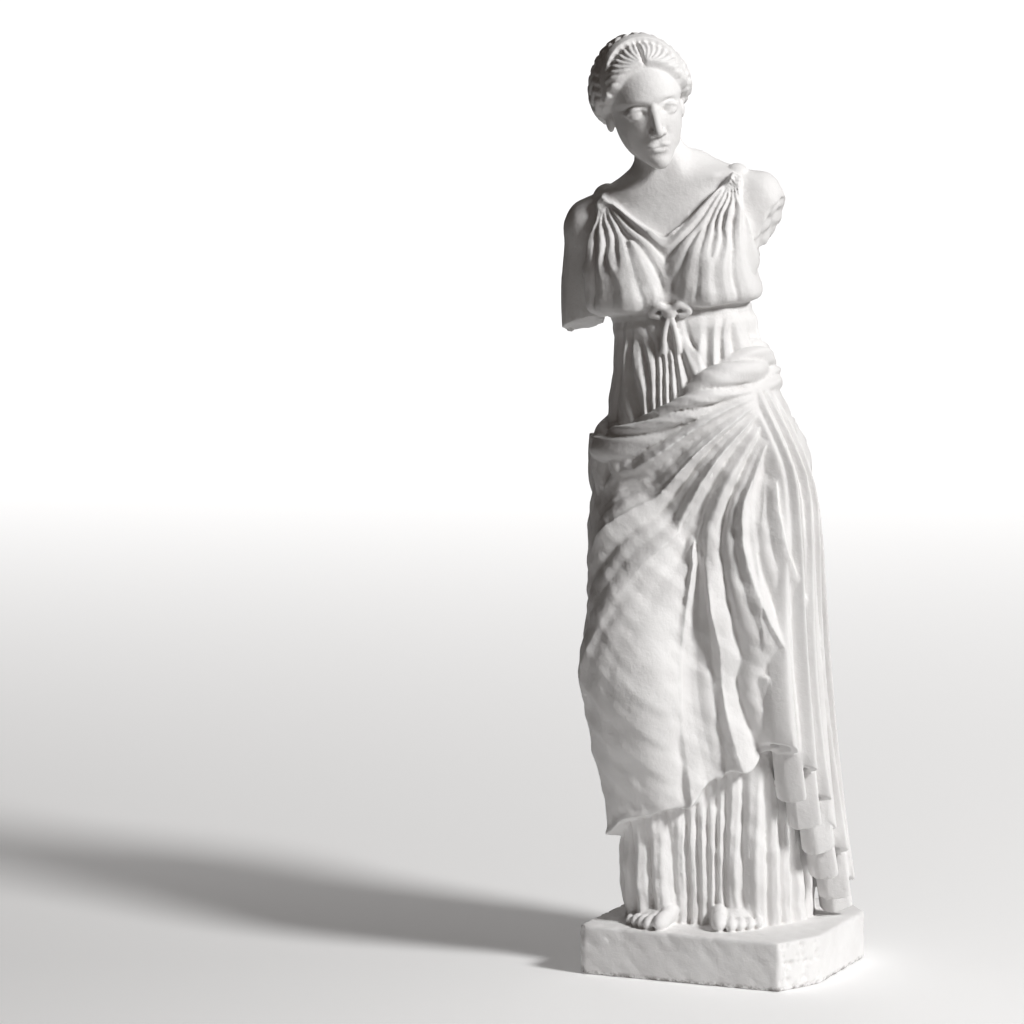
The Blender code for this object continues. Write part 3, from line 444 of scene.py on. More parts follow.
def carve_face(head):
    points, normals = points_of(head), normals_of(head)
    x, y, z = points.T
    ahead = smooth_step(-0.10, -0.22, y)
    aside = np.abs(x)
    # Lids round an almond opening, the crease above them and the inner corners
    u = (aside - 0.130) / 0.072
    almond = np.clip(1 - u**2, 0, 1)
    over = z - (EYE_HEIGHT + 0.030 * almond**0.7 - 0.006 * u)
    under = (EYE_HEIGHT - 0.024 * almond**0.8 - 0.004 * u) - z
    near = dome(u, 1.15) * ahead
    upper = smooth_step(-0.006, 0.004, over) * (1 - smooth_step(0.018, 0.040, over))
    lower = smooth_step(-0.006, 0.004, under) * (1 - smooth_step(0.010, 0.034, under))
    lift = near * (0.019 * upper + 0.010 * lower)
    lift -= 0.010 * near * dome(over - 0.042, 0.013)
    # Mouth line, its corners, the groove above it and the hollow over the chin
    smile = 0.204 + 0.010 * (aside / 0.1) ** 2 - 0.006 * dome(x, 0.02)
    lift -= 0.006 * dome(z - smile, 0.008) * (1 - smooth_step(0.060, 0.112, aside)) * ahead
    lift -= 0.004 * twin_spots(points, (0.116, -0.34, 0.208), (0.022, 0.10, 0.022))
    lift -= 0.007 * spot(points, (0, -0.40, 0.268), (0.016, 0.10, 0.030))
    lift -= 0.009 * spot(points, (0, -0.38, 0.130), (0.070, 0.10, 0.022))
    # Nostrils and the fold beside each wing
    lift -= 0.008 * twin_spots(points, (0.024, -0.43, 0.293), (0.012, 0.03, 0.012))
    lift -= 0.010 * twin_spots(points, (0.082, -0.37, 0.322), (0.014, 0.08, 0.026))
    set_points(head, points + normals * lift[:, None])


def coiled_bun(grain):
    """The knot of hair at the nape, with its strands wound round."""
    clay = bmesh.new()
    lump(clay, BUN_CENTRE, (0.150, 0.120, 0.120))
    bun = as_object("bun", clay)
    fuse(bun, grain, 2)
    points, normals = points_of(bun), normals_of(bun)
    across, back, up = (points - BUN_CENTRE).T
    wound = np.arctan2(up, across) / (2 * np.pi) + 4.5 * np.hypot(across, up) / 0.150 + 1.2 * back / 0.120
    strands = np.abs(np.sin(np.pi * wound)) ** 0.7 + 0.25 * np.abs(np.sin(3 * np.pi * wound))
    set_points(bun, points + normals * (0.022 * strands - 0.008)[:, None])
    return bun


def head_of(grain):
    skull = as_object("head", skull_clay())
    fuse(skull, SKULL_GRAIN, 10)
    points, normals = points_of(skull), normals_of(skull)
    dent = 0.040 * twin_spots(points, (0.120, -0.36, 0.500), (0.075, 0.14, 0.048))
    aside = np.abs(points[:, 0])
    arch = 0.576 + 0.020 * (1 - ((aside - 0.110) / 0.110) ** 2)
    brow = 0.013 * dome(points[:, 2] - arch, 0.026) * dome(aside - 0.120, 0.130)
    brow *= smooth_step(-0.10, -0.20, points[:, 1])
    set_points(skull, points + normals * (brow - dent)[:, None])
    head = as_object("head", face_clay(skull))
    bpy.data.objects.remove(skull)
    fuse(head, grain, 3)
    carve_face(head)
    dress_hair(head)
    head = join("head", head, coiled_bun(grain))
    fuse(head, grain, 1)
    return head


def ragged(points, size):
    """An uneven field between about -1 and 1, with humps of about a size."""
    x, y, z = (points / size).T
    return (
        np.sin(1.9 * x + 2.3 * y + 0.7 * z + 1.0)
        + np.sin(2.9 * y - 2.1 * z + 0.5 * x + 2.0)
        + np.sin(3.3 * z + 2.5 * x - 1.7 * y)
    ) / 3


def pleats(phase, own=1.0, roundness=0.65):
    """Ridges at every whole step of phase, from 0 in the valleys to the ridges' own height."""
    return own * np.abs(np.sin(np.pi * phase)) ** roundness


def forks(u, v, places):
    """Adds to a phase where a ridge splits in two, at each of the places (u, v, 1 up or -1 down)."""
    turn = np.zeros_like(u)
    for u0, v0, way in places:
        turn += way * np.arctan2(u - u0, v - v0) / (2 * np.pi)
    return turn


def uneven(points, size, least):
    """Each fold's own height, between a least share and 1."""
    return least + (1 - least) * (0.5 + 0.5 * np.clip(1.6 * ragged(points, size), -1, 1))


class Wrap:
    """Where each point lies on the figure: its angle round the trunk from the front, and its height."""

    def __init__(self, points):
        self.points = points
        self.x, self.y, self.z = points.T
        middle = along(TRUNK, self.z)
        self.across = self.x - middle[:, 0]
        self.ahead = -(self.y - middle[:, 1])
        self.angle = np.degrees(np.arctan2(self.across, self.ahead))
        self.reach = np.hypot(self.across, self.ahead)
        self.width = middle[:, 2]

    def hump(self, angle, width):
        """1 at an angle round the trunk, falling off on both sides of it."""
        away = (self.angle - angle + 180) % 360 - 180
        return np.exp(-((away / width) ** 2))


ROLL_HEIGHT = 0.580
ROLL_RISE = 0.040
HEM_HEIGHT = 0.150
HEM_RISE = 0.060
GIRDLE_HEIGHT = 0.690
# The cloth that falls from the left hip
FALL_ANGLE = 70.0
FALL_TOP = 0.604
FALL_WIDTH = 0.050
FALL_SPREAD = 0.020
FALL_SLANT = 0.008
FALL_HEMS = (0.205, 0.150, 0.180, 0.118, 0.146, 0.086, 0.112, 0.056, 0.080, 0.028, 0.046, 0.010)
# The folds of the roll's end: the angle, how far each hangs down and its half width
TUCKS = (
    (-42, 0.046, 0.0105),
    (-51, 0.076, 0.0115),
    (-60, 0.058, 0.0120),
    (-69, 0.098, 0.0125),
    (-78, 0.070, 0.0125),
    (-87, 0.112, 0.0125),
    (-96, 0.066, 0.0115),
)
# Where folds split: the angle or slope in degrees, the height or distance scaled to match it,
# and 1 where the ridge splits upward or -1 where it splits downward
UNDER_FORKS = ((-64, 48, -1), (-22, 56, -1), (18, 62, -1), (47, 52, -1), (150, 40, -1), (-150, 30, 1))
MANTLE_FORKS = ((40, 62, 1), (12, 88, 1), (-6, 60, -1), (60, 95, 1), (-20, 95, 1), (-45, 80, 1))
SIDE_FORKS = ((-92, 132, -1), (-112, 120, 1), (96, 100, 1))
WAIST_FORKS = ((-40, 398, -1), (22, 388, 1), (58, 402, -1), (150, 392, 1), (-140, 398, 1))
BODICE_FORKS = ((28, 34, 1), (48, 30, 1), (14, 46, -1))


def roll_line(angle):
    return ROLL_HEIGHT + ROLL_RISE * np.sin(np.radians(angle - 12))


def hem_line(angle):
    return HEM_HEIGHT + HEM_RISE * np.sin(np.radians(angle + 10))


def drape_skirt(wrap):
    """How far the cloth below the roll stands out."""
    angle, z = wrap.angle, wrap.z
    around_hips = np.radians(angle)
    # The under-dress falls in deep pleats to the ground
    stray = 0.40 * np.sin(3 * around_hips + 0.7) + 0.22 * np.sin(7 * around_hips - 0.35)
    drift = 0.25 * np.sin(6 * z + 2 * around_hips)
    phase = angle / 11.0 + stray + drift + forks(angle, 300 * z, UNDER_FORKS)
    own = uneven(wrap.points, 0.060, 0.55)
    fine = 0.16 * pleats(2.7 * phase + 0.3 * np.sin(30 * z), 1.0, 0.9)
    under = 0.013 * (pleats(phase, own) + fine) * smooth_step(0.34, 0.05, z)
    # The mantle's folds spring from the left hip and sweep round to the right leg
    hip_angle, hip_height = 80.0, 0.600
    away = (hip_angle - angle) % 360
    away = np.where(away > 200, away - 360, away)
    sideways = 0.092 * np.radians(away)
    fall = hip_height - z
    distance = np.hypot(sideways, fall)
    slope = np.degrees(np.arctan2(fall, sideways)) - 60 * distance
    knee = spot(wrap.points, (-0.056, -0.130, 0.300), (0.040, 0.060, 0.085))
    thigh = spot(wrap.points, (-0.040, -0.100, 0.400), (0.036, 0.050, 0.080))
    shin = spot(wrap.points, (-0.062, -0.110, 0.200), (0.022, 0.050, 0.060))
    between = spot(wrap.points, (0.000, -0.090, 0.290), (0.018, 0.060, 0.130))
    taut = 1 - 0.75 * np.clip(knee + 0.7 * thigh + 0.35 * shin + 0.6 * between, 0, 1)
    phase = slope / 9.5 + 0.35 * np.sin(9 * distance + 1.0) + forks(slope, 300 * distance, MANTLE_FORKS)
    own = uneven(wrap.points, 0.070, 0.45)
    sweep = 0.45 * pleats(phase, own, 0.8) + 0.65 * own * (1 - pleats(phase + 0.35, 1.0, 0.75)) ** 1.2
    sweep += pleats(2.6 * phase + 0.3, 0.15, 0.9)
    sweep *= 1 - 0.62 * wrap.hump(185, 80)
    sweep = 0.023 * sweep * smooth_step(0.02, 0.13, distance) * taut
    phase = angle / 12.0 + 0.3 * np.sin(9 * z) + 0.25 + forks(angle, 300 * z, SIDE_FORKS)
    hanging = 0.014 * (pleats(phase, own) + pleats(2.6 * phase, 0.15, 0.9)) * smooth_step(0.56, 0.40, z)
    beside = wrap.hump(-92, 36) + wrap.hump(100, 30)
    over = sweep * smooth_step(0.55, 0.20, beside) + hanging * smooth_step(0.35, 0.75, beside)
    ripple = 0.004 * np.sin(9 * around_hips) + 0.003 * np.sin(17 * around_hips + 1)
    hem = hem_line(angle) - 0.35 * over + ripple
    mantle = smooth_step(-0.0015, 0.0015, z - hem)
    # The hem is a little thicker, and its cloth curls out
    rim = 0.0022 * dome(z - hem - 0.003, 0.0045)
    below_roll = smooth_step(0.010, -0.012, z - roll_line(angle))
    crease = 0.0016 * ragged(wrap.points, 0.022) + 0.0009 * ragged(wrap.points[:, ::-1], 0.009)
    return below_roll * (mantle * (0.011 + over + rim) + (1 - mantle) * under + crease)


def drape_bodice(wrap):
    """How far the dress above the roll stands out from the body."""
    x, z = wrap.x, wrap.z
    aside = np.hypot(x, 0.012)
    front = smooth_step(-0.01, 0.01, wrap.ahead)
    neckline = 0.772 + 0.060 * (np.abs(x) / 0.074) ** 1.3
    nape = 0.815 + 0.020 * (np.abs(x) / 0.074) ** 2
    top = front * neckline + (1 - front) * nape
    armhole = 0.083 + 0.30 * np.clip(0.790 - z, 0, None) ** 1.1
    cover = smooth_step(0.0015, -0.0015, z - top) * smooth_step(0.0015, -0.0015, np.abs(x) - armhole)
    trunk_only = smooth_step(0.020, 0.008, np.abs(wrap.across) - wrap.width)
    from_pin = np.degrees(np.arctan2(0.078 - aside, 0.836 - z))
    bust = twin_spots(wrap.points, (0.040, -0.066, 0.738), (0.024, 0.030, 0.026))
    own = uneven(wrap.points, 0.045, 0.5)
    phase = from_pin / 8.5 + 0.15 * np.sin(40 * z) + 0.2 * np.sin(60 * x)
    phase += forks(from_pin, 500 * (0.836 - z), BODICE_FORKS)
    hang = pleats(phase, own, 0.75) + pleats(2.6 * phase, 0.18, 0.9)
    above = 0.0070 * hang * (1 - 0.70 * np.clip(bust, 0, 1)) * smooth_step(0.69, 0.72, z)
    around_waist = np.radians(wrap.angle)
    stray = 0.60 * np.sin(3 * around_waist + 0.9) + 0.35 * np.sin(7 * around_waist + 24 * (0.69 - z))
    phase = wrap.angle / 12.5 + stray + 4.0 * (0.69 - z) * np.sin(2 * around_waist)
    phase += forks(wrap.angle, 600 * z, WAIST_FORKS)
    gathers = pleats(phase, own, 0.8) + pleats(2.4 * phase + 0.2, 0.20, 0.9)
    below = 0.0085 * gathers * smooth_step(0.700, 0.640, z)
    blouse = 0.010 * dome(z - 0.706, 0.011) + 0.004 * dome(z - 0.672, 0.010)
    crease = 0.0007 * ragged(wrap.points, 0.014)
    rim = 0.0016 * dome(top - z - 0.003, 0.0030)
    cloth = 0.005 + above + below + blouse + crease + rim
    girdle = smooth_step(0.0085, 0.0065, np.abs(z - GIRDLE_HEIGHT))
    cord = 0.0075 - 0.0022 * dome(z - GIRDLE_HEIGHT, 0.0016)
    over_roll = smooth_step(-0.012, 0.006, z - roll_line(wrap.angle))
    return over_roll * cover * trunk_only * (girdle * cord + (1 - girdle) * cloth)


def dress(body):
    """Moves the skin out where the cloth lies on it."""
    wrap = Wrap(points_of(body))
    lift = drape_skirt(wrap) + drape_bodice(wrap)
    normals = normals_of(body)
    level = np.column_stack([wrap.across, -wrap.ahead, np.zeros(len(lift))])
    level /= np.linalg.norm(level, axis=1)[:, None]
    way = normals + 0.6 * level * smooth_step(0.50, 0.30, wrap.z)[:, None]
    way /= np.linalg.norm(way, axis=1)[:, None]
    set_points(body, wrap.points + way * lift[:, None])


def surface_point(angle, height):
    """The point on the trunk's surface in a direction, at a height."""
    x, y, width, front, back = along(TRUNK, np.array([height]))[0]
    across, ahead = math.sin(math.radians(angle)), math.cos(math.radians(angle))
    depth = front if ahead > 0 else back
    power = TRUNK_ROUNDNESS
    reach = (abs(across / width) ** power + abs(ahead / depth) ** power) ** (-1 / power)
    return np.array((x + reach * across, y - reach * ahead, height))


def add_roll(clay):
    """The mantle's rolled edge: two loose strands of gathered cloth that twist round the hips."""
    sides, stops = 48, 180
    for strand in (0, 1):
        rings = []
        for i in range(stops + 1):
            angle = -180 + 360 * i / stops
            radians = math.radians(angle)
            middle = surface_point(angle, float(roll_line(angle)))
            out = np.array((math.sin(radians), -math.cos(radians), 0))
            swap = math.pi * strand + 1.0 * radians + 0.9
            bunch = math.exp(-(((angle + 62) / 42) ** 2))
            centre = middle + (0.0075 * math.cos(swap) + 0.004 * bunch) * out
            centre = centre + np.array((0, 0, 0.0165 * math.sin(swap) - 0.008 * bunch))
            size = 0.0180 + 0.0035 * math.sin(radians + 0.9 + 2 * strand) + 0.0018 * math.sin(5 * radians)
            size += 0.0045 * bunch
            ring = []
            for j in range(sides):
                turn = 2 * math.pi * j / sides
                twist = 2.5 * turn + 5.0 * radians + 0.6 * math.sin(2 * turn + 3 * radians) + strand
                groove = abs(math.sin(twist)) ** 0.7
                fine = abs(math.sin(2 * twist + 4 * math.sin(2 * radians)))
                radius = size * (0.66 + 0.38 * groove + 0.10 * fine)
                ring.append(centre + radius * (math.cos(turn) * out + math.sin(turn) * np.array((0, 0, 1))))
            rings.append(ring)
        loft(clay, rings)


def add_fall(clay):
    """The mantle's end: pressed folds that fall from under the roll, each cut off lower than the last."""
    way = math.radians(FALL_ANGLE)
    out = np.array((math.sin(way), -math.cos(way), 0))
    sideways = np.array((math.cos(way), math.sin(way), 0))
    last = len(FALL_HEMS) - 1
    stops, sides = 60, 36
    for k, hem in enumerate(FALL_HEMS):
        w = 2 * k / last - 1
        rings = []
        for i in range(stops + 1):
            t = i / stops
            ring = []
            for j in range(sides):
                turn = 2 * math.pi * j / sides
                # The hem slants one way on one fold and back on the next
                low = hem + FALL_SLANT * math.cos(turn) * (1 if k % 2 else -1)
                height = FALL_TOP + t * (low - FALL_TOP)
                here = surface_point(FALL_ANGLE, height)
                spread = FALL_WIDTH * (0.40 + 0.60 * t**0.7)
                wide = spread * (1.70 / last) * (1 + 0.12 * math.sin(9 * t + 2.3 * k))
                deep = 0.007 + 0.012 * min(1, 5 * t) * (1 - 0.45 * (k % 2)) + 0.006 * t
                # Each fold has a sharp ridge that leans to one side, and a shallow groove beside it
                ridge = math.sin(turn)
                if ridge > 0:
                    ridge = ridge**1.7 + 0.16 * math.sin(3 * turn + k)
                lean = 0.45 * wide * max(ridge, 0)
                middle = spread * w + 0.003 * math.sin(6 * t + 1.7 * k) + lean
                push = 0.006 + 0.010 * min(1, 4 * t) + FALL_SPREAD * t**2 - 0.012 * w * w
                point = here + (push + deep * ridge) * out + (middle + wide * math.cos(turn)) * sideways
                ring.append((point[0], point[1], height))
            rings.append(ring)
        # The folds are open at the hem
        end = np.array(rings[-1])
        heart = end.mean(axis=0)
        for inward, upward in ((0.40, 0.0), (0.46, 0.006), (0.60, 0.022)):
            rings.append(end + inward * (heart - end) + np.array((0, 0, upward)))
        loft(clay, rings[::-1])


def add_tuck(clay):
    """The end of the roll, pulled out and hanging in crumpled folds over the right hip."""
    for angle, drop, size in TUCKS:
        line = float(roll_line(angle))
        stations = []
        for t in (0.0, 0.25, 0.5, 0.75, 1.0):
            here = surface_point(angle + 3 * math.sin(3 * t + angle), line + 0.006 - drop * t)
            out = np.array((math.sin(math.radians(angle)), -math.cos(math.radians(angle)), 0))
            here = here + (0.017 + 0.002 * math.sin(6 * t + angle)) * out
            stations.append((*here, size * (0.70 + 0.40 * math.sin(math.pi * min(1, 0.2 + 0.72 * t)))))
        limb(clay, stations, 16)


def add_foot(clay, x, y, turn):
    """A bare foot on the ground, toes forward, turned out by an angle in degrees."""
    way = Matrix.Translation((x, y, 0)) @ Matrix.Rotation(math.radians(turn), 4, "Z")
    side = -1 if x < 0 else 1
    for i, (reach, size) in enumerate(TOES):
        across = side * (-0.019 + 0.0104 * i + (0.0032 if i else 0))
        tip = way @ Vector((across, reach - 0.012, size * 0.95))
        lump(clay, tip, (size * 0.92, size * 1.7, size), (12, 0, turn))
        knuckle = way @ Vector((across * 0.94, reach + 0.006, size * 1.30))
        lump(clay, knuckle, (size * 0.95, size * 1.9, size * 1.05), (24, 0, turn))
    instep = way @ Vector((0, 0.038, 0.013))
    lump(clay, instep, (0.0265, 0.048, 0.019), (14, 0, turn))


# Each toe's reach behind the second one and its radius, from the big toe outward
TOES = ((0.001, 0.0098), (-0.002, 0.0076), (0.002, 0.0070), (0.007, 0.0066), (0.013, 0.0060))


def add_trim(clay):
    """Shoulder brooches and the girdle's knot."""
    pair(clay, (0.077, 0.002, 0.831), (0.0130, 0.0125, 0.0095), (20, 24, 0))
    lump(clay, (0.004, -0.064, GIRDLE_HEIGHT), (0.0090, 0.0075, 0.0078))
    for side in (1, -1):
        limb(
            clay,
            (
                (0.004, -0.065, GIRDLE_HEIGHT, 0.0040),
                (0.004 + side * 0.012, -0.068, GIRDLE_HEIGHT + 0.007, 0.0042),
                (0.004 + side * 0.022, -0.063, GIRDLE_HEIGHT - 0.001, 0.0040),
                (0.004 + side * 0.010, -0.064, GIRDLE_HEIGHT - 0.005, 0.0036),
            ),
            12,
        )
        limb(
            clay,
            (
                (0.004, -0.064, GIRDLE_HEIGHT - 0.002, 0.0038),
                (0.004 + side * 0.006, -0.069, GIRDLE_HEIGHT - 0.022, 0.0034),
                (0.004 + side * 0.009, -0.068, GIRDLE_HEIGHT - 0.046, 0.0040),
            ),
            12,
        )


# How far the shoulders drop to the left and turn to the left, in degrees, how far the trunk
# leans to the left, and the break of each arm: a point on it, the way it faces and the way the arm ran
SHOULDER_TILT = -9.0
SHOULDER_TWIST = 4.0
LEAN = -0.051
RIGHT_BREAK = ((-0.112, 0.012, 0.680), (0.20, -0.35, -1.0), (-0.10, -0.085, -0.99))
LEFT_BREAK = ((0.113, 0.008, 0.772), (0.85, -0.20, -0.50), (0.60, -0.07, -0.80))


def break_arms(body):
    """Flattens the skin of each arm's end onto the plane where it broke off."""
    points = points_of(body)
    for centre, facing, run in (RIGHT_BREAK, LEFT_BREAK):
        facing = np.array(facing) / np.linalg.norm(facing)
        offset = points - np.array(centre)
        beyond = offset @ facing
        near = np.linalg.norm(offset - np.outer(beyond, facing), axis=1) < 0.045
        near &= (beyond > 0) & (beyond < 0.06)
        rough = ragged(points[near], 0.011) * 0.0030
        points[near] -= np.outer((beyond[near] - rough) / np.dot(run, facing), run)
    set_points(body, points)


def sway(points):
    """Leans and turns the trunk above the hips."""
    middle = along(TRUNK, points[:, 2])
    share = smooth_step(0.56, 0.80, points[:, 2])
    tilt, twist = np.radians(SHOULDER_TILT) * share, np.radians(SHOULDER_TWIST) * share
    x, y = points[:, 0] - middle[:, 0], points[:, 1] - middle[:, 1]
    x, y = x * np.cos(twist) - y * np.sin(twist), x * np.sin(twist) + y * np.cos(twist)
    z = points[:, 2] - x * np.sin(tilt)
    x = x * np.cos(tilt) + LEAN * smooth_step(0.10, 0.92, points[:, 2])
    return np.column_stack([x + middle[:, 0], y + middle[:, 1], z])


def join(name, *objects):
    clay = bmesh.new()
    for obj in objects:
        clay.from_mesh(obj.data)
        bpy.data.objects.remove(obj)
    return as_object(name, clay)


def figure():
    body = as_object("goddess_statue", body_clay())
    fuse(body, CLAY_GRAIN, 14)
    fuse(body, SKIN_GRAIN, 3)
    dress(body)
    break_arms(body)
    set_points(body, sway(points_of(body)))
    extras = bmesh.new()
    add_roll(extras)
    add_fall(extras)
    add_tuck(extras)
    add_foot(extras, -0.049, -0.100, -14)
    add_foot(extras, 0.046, -0.092, 12)
    add_trim(extras)
    extras = as_object("extras", extras)
    set_points(extras, sway(points_of(extras)))
    head = head_of(HEAD_GRAIN / HEAD_HEIGHT)
    place = Matrix.Translation((LEAN - 0.025, -0.002, CHIN_HEIGHT + 0.30 * HEAD_HEIGHT))
    turn = Euler([math.radians(a) for a in HEAD_TURN]).to_matrix().to_4x4()
    size = Matrix.Scale(HEAD_HEIGHT, 4) @ Matrix.Translation((0, -0.05, -0.30))
    head.data.transform(place @ turn @ size)
    return join("goddess_statue", body, extras, head)


def plinth():
    """The low plinth, with its corners cut off, the front one at the figure's left most of all."""
    right, back = PLINTH_LENGTH / 2, PLINTH_DEPTH / 2
    corners = (
        (-right, -back + FRONT_LEFT_CUT[1]),
        (-right + FRONT_LEFT_CUT[0], -back),
        (right - FRONT_RIGHT_CUT[0], -back),
        (right, -back + FRONT_RIGHT_CUT[1]),
        (right, back - BACK_RIGHT_CUT[1]),
        (right - BACK_RIGHT_CUT[0], back),
        (-right + BACK_LEFT_CUT[0], back),
        (-right, back - BACK_LEFT_CUT[1]),
    )
    clay = bmesh.new()
    loft(clay, [[(x, y, z) for x, y in corners] for z in (0.0, PLINTH_HEIGHT)])
    block = as_object("plinth", clay)
    edge = block.modifiers.new("edge", "BEVEL")
    edge.width = PLINTH_EDGE
    edge.segments = 2
    edge.limit_method = "ANGLE"
    edge.angle_limit = math.radians(30)
    evaluated(block)
    return block


def swell(points, back=False):
    """Enlarges the head, so that it is fused more finely and keeps more faces, or takes that back."""
    heights = np.linspace(-0.1, 1.1, 600)
    share = smooth_step(CHIN_HEIGHT - 0.05, CHIN_HEIGHT + 0.01, heights)
    sizes = 1 + (HEAD_CARE - 1) * share
    lifted = heights[0] + np.concatenate([[0], np.cumsum(np.diff(heights) * (sizes[1:] + sizes[:-1]) / 2)])
    x, y, z = points.T
    low = np.interp(z, lifted, heights) if back else z
    size = np.interp(low, heights, sizes)
    if back:
        return np.column_stack([x / size, y / size, low])
    return np.column_stack([x * size, y * size, np.interp(z, heights, lifted)])


def skin_over(body, grain, faces):
    """Makes one skin of all the pieces and leaves about so many triangles of it."""
    set_points(body, swell(points_of(body)))
    fuse(body, grain, 1)
    cut = body.modifiers.new("thin", "DECIMATE")
    cut.ratio = faces / (2 * len(body.data.polygons))
    cut.use_collapse_triangulate = True
    evaluated(body)
    set_points(body, swell(points_of(body), back=True))


def worn_plinth(to_figure):
    """The plinth with its crumbled edges, in the figure's own shares."""
    block = plinth()
    block.data.transform(to_figure)
    fuse(block, SKIN_GRAIN, 1)
    points, normals = points_of(block), normals_of(block)
    rough = ragged(points, 0.012) + 0.6 * ragged(points + 3.1, 0.0047)
    bend = 1 - np.max(np.abs(normals), axis=1)
    worn = 0.0010 * rough + 0.0040 * np.clip(rough - 0.1, 0, None) * smooth_step(0.02, 0.25, bend)
    level = points[:, 2] < -0.9 * PLINTH_HEIGHT / FIGURE_HEIGHT
    worn[level & (normals[:, 2] < -0.9)] = 0
    set_points(block, points - normals * np.clip(worn, 0, None)[:, None])
    return block


def node_tree(name):
    material = bpy.data.materials.new(name)
    material.use_nodes = True
    return material, material.node_tree.nodes, material.node_tree.links


def grain_noise(nodes, links, place, scale, detail, rough=0.55):
    noise = nodes.new("ShaderNodeTexNoise")
    noise.inputs["Scale"].default_value = scale
    noise.inputs["Detail"].default_value = detail
    noise.inputs["Roughness"].default_value = rough
    links.new(place.outputs["Object"], noise.inputs["Vector"])
    return noise.outputs["Fac"]


def spread(nodes, links, value, low, high, new_low, new_high):
    """Maps a value's range to another, clamped."""
    node = nodes.new("ShaderNodeMapRange")
    node.inputs["From Min"].default_value = low
    node.inputs["From Max"].default_value = high
    node.inputs["To Min"].default_value = new_low
    node.inputs["To Max"].default_value = new_high
    links.new(value, node.inputs["Value"])
    return node.outputs["Result"]


def mix(nodes, links, share, first, second):
    """A colour between two, by a share; each may be a colour or a node's output."""
    node = nodes.new("ShaderNodeMix")
    node.data_type = "RGBA"
    links.new(share, node.inputs["Factor"])
    for socket, value in ((node.inputs[6], first), (node.inputs[7], second)):
        if isinstance(value, tuple):
            socket.default_value = value
        else:
            links.new(value, socket)
    return node.outputs[2]


def white_plaster():
    material, nodes, links = node_tree("white plaster")
    surface = nodes["Principled BSDF"]
    surface.inputs["Specular IOR Level"].default_value = 0.35
    place = nodes.new("ShaderNodeTexCoord")
    cloud = grain_noise(nodes, links, place, 38, 4)
    speck = grain_noise(nodes, links, place, 900, 3, 0.7)
    brush = grain_noise(nodes, links, place, 330, 4, 0.6)
    shape = nodes.new("ShaderNodeNewGeometry")
    # Greyer clouds, painted shade that darkens the valleys to a warm brown, and faint dark specks
    clouds = spread(nodes, links, cloud, 0.35, 0.68, 0, 1)
    white = mix(nodes, links, clouds, (0.80, 0.79, 0.785, 1), (0.86, 0.855, 0.85, 1))
    # Painted shade: hollows and the bottoms of folds are darkened, as shade would fall in them
    painted_valley_shade = spread(nodes, links, shape.outputs["Pointiness"], 0.40, 0.49, 0.45, 0)
    valley_shaded_white = mix(nodes, links, painted_valley_shade, white, (0.55, 0.515, 0.49, 1))
    dots = spread(nodes, links, speck, 0.24, 0.32, 0.25, 0)
    colour = mix(nodes, links, dots, valley_shaded_white, (0.50, 0.48, 0.46, 1))
    # Darker patches along the bottom edge that it stands on
    axes = nodes.new("ShaderNodeSeparateXYZ")
    links.new(place.outputs["Object"], axes.inputs[0])
    edge = nodes.new("ShaderNodeMath")
    edge.operation = "MULTIPLY"
    links.new(spread(nodes, links, axes.outputs["Z"], 0.0006, 0.0026, 1, 0), edge.inputs[0])
    links.new(spread(nodes, links, brush, 0.42, 0.60, 0, 0.85), edge.inputs[1])
    colour = mix(nodes, links, edge.outputs[0], colour, (0.20, 0.18, 0.17, 1))
    links.new(colour, surface.inputs["Base Color"])
    links.new(spread(nodes, links, brush, 0.3, 0.7, 0.50, 0.72), surface.inputs["Roughness"])
    # Fine grain and the slight ripple of brushed plaster
    fine = nodes.new("ShaderNodeBump")
    fine.inputs["Strength"].default_value = 0.30
    fine.inputs["Distance"].default_value = 0.00025
    links.new(speck, fine.inputs["Height"])
    ripple = nodes.new("ShaderNodeBump")
    ripple.inputs["Strength"].default_value = 0.5
    ripple.inputs["Distance"].default_value = 0.0006
    links.new(brush, ripple.inputs["Height"])
    links.new(fine.outputs["Normal"], ripple.inputs["Normal"])
    links.new(ripple.outputs["Normal"], surface.inputs["Normal"])
    return material


def build_statue():
    body = figure()
    place = Matrix.Translation((*FIGURE_PLACE, PLINTH_HEIGHT))
    turn = Matrix.Rotation(math.radians(FIGURE_TURN), 4, "Z")
    to_metres = place @ turn @ Matrix.Scale(FIGURE_HEIGHT, 4)
    body = join("plaster_statue", body, worn_plinth(to_metres.inverted()))
    skin_over(body, WHOLE_GRAIN, FIGURE_TRIANGLES)
    body.data.transform(to_metres)
    body.data.materials.clear()
    body.data.materials.append(white_plaster())
    body.data.shade_smooth()
    low, high = solid_box
    points = points_of(body)
    set_points(body, np.clip(points, np.array(low), np.array(high)))
    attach(body, "root")
    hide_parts("goddess_statue")


def sheet(name, rows, colour):
    """A stage surface through rows of (left, right, y, z), turned to the camera, with its material."""
    clay = bmesh.new()
    rows = [[clay.verts.new((x, y, z)) for x in (left, right)] for left, right, y, z in rows]
    for (a, b), (c, d) in zip(rows, rows[1:]):
        clay.faces.new((a, b, d, c))
    piece = as_object(name, clay)
    piece.data.shade_smooth()
    piece.data.transform(Matrix.Rotation(math.radians(CAMERA_AZIMUTH), 4, "Z"))
    material, nodes, links = node_tree(name)
    surface = nodes["Principled BSDF"]
    surface.inputs["Base Color"].default_value = (*colour, 1)
    surface.inputs["Roughness"].default_value = 0.9
    piece.data.materials.append(material)
    return nodes, links, surface


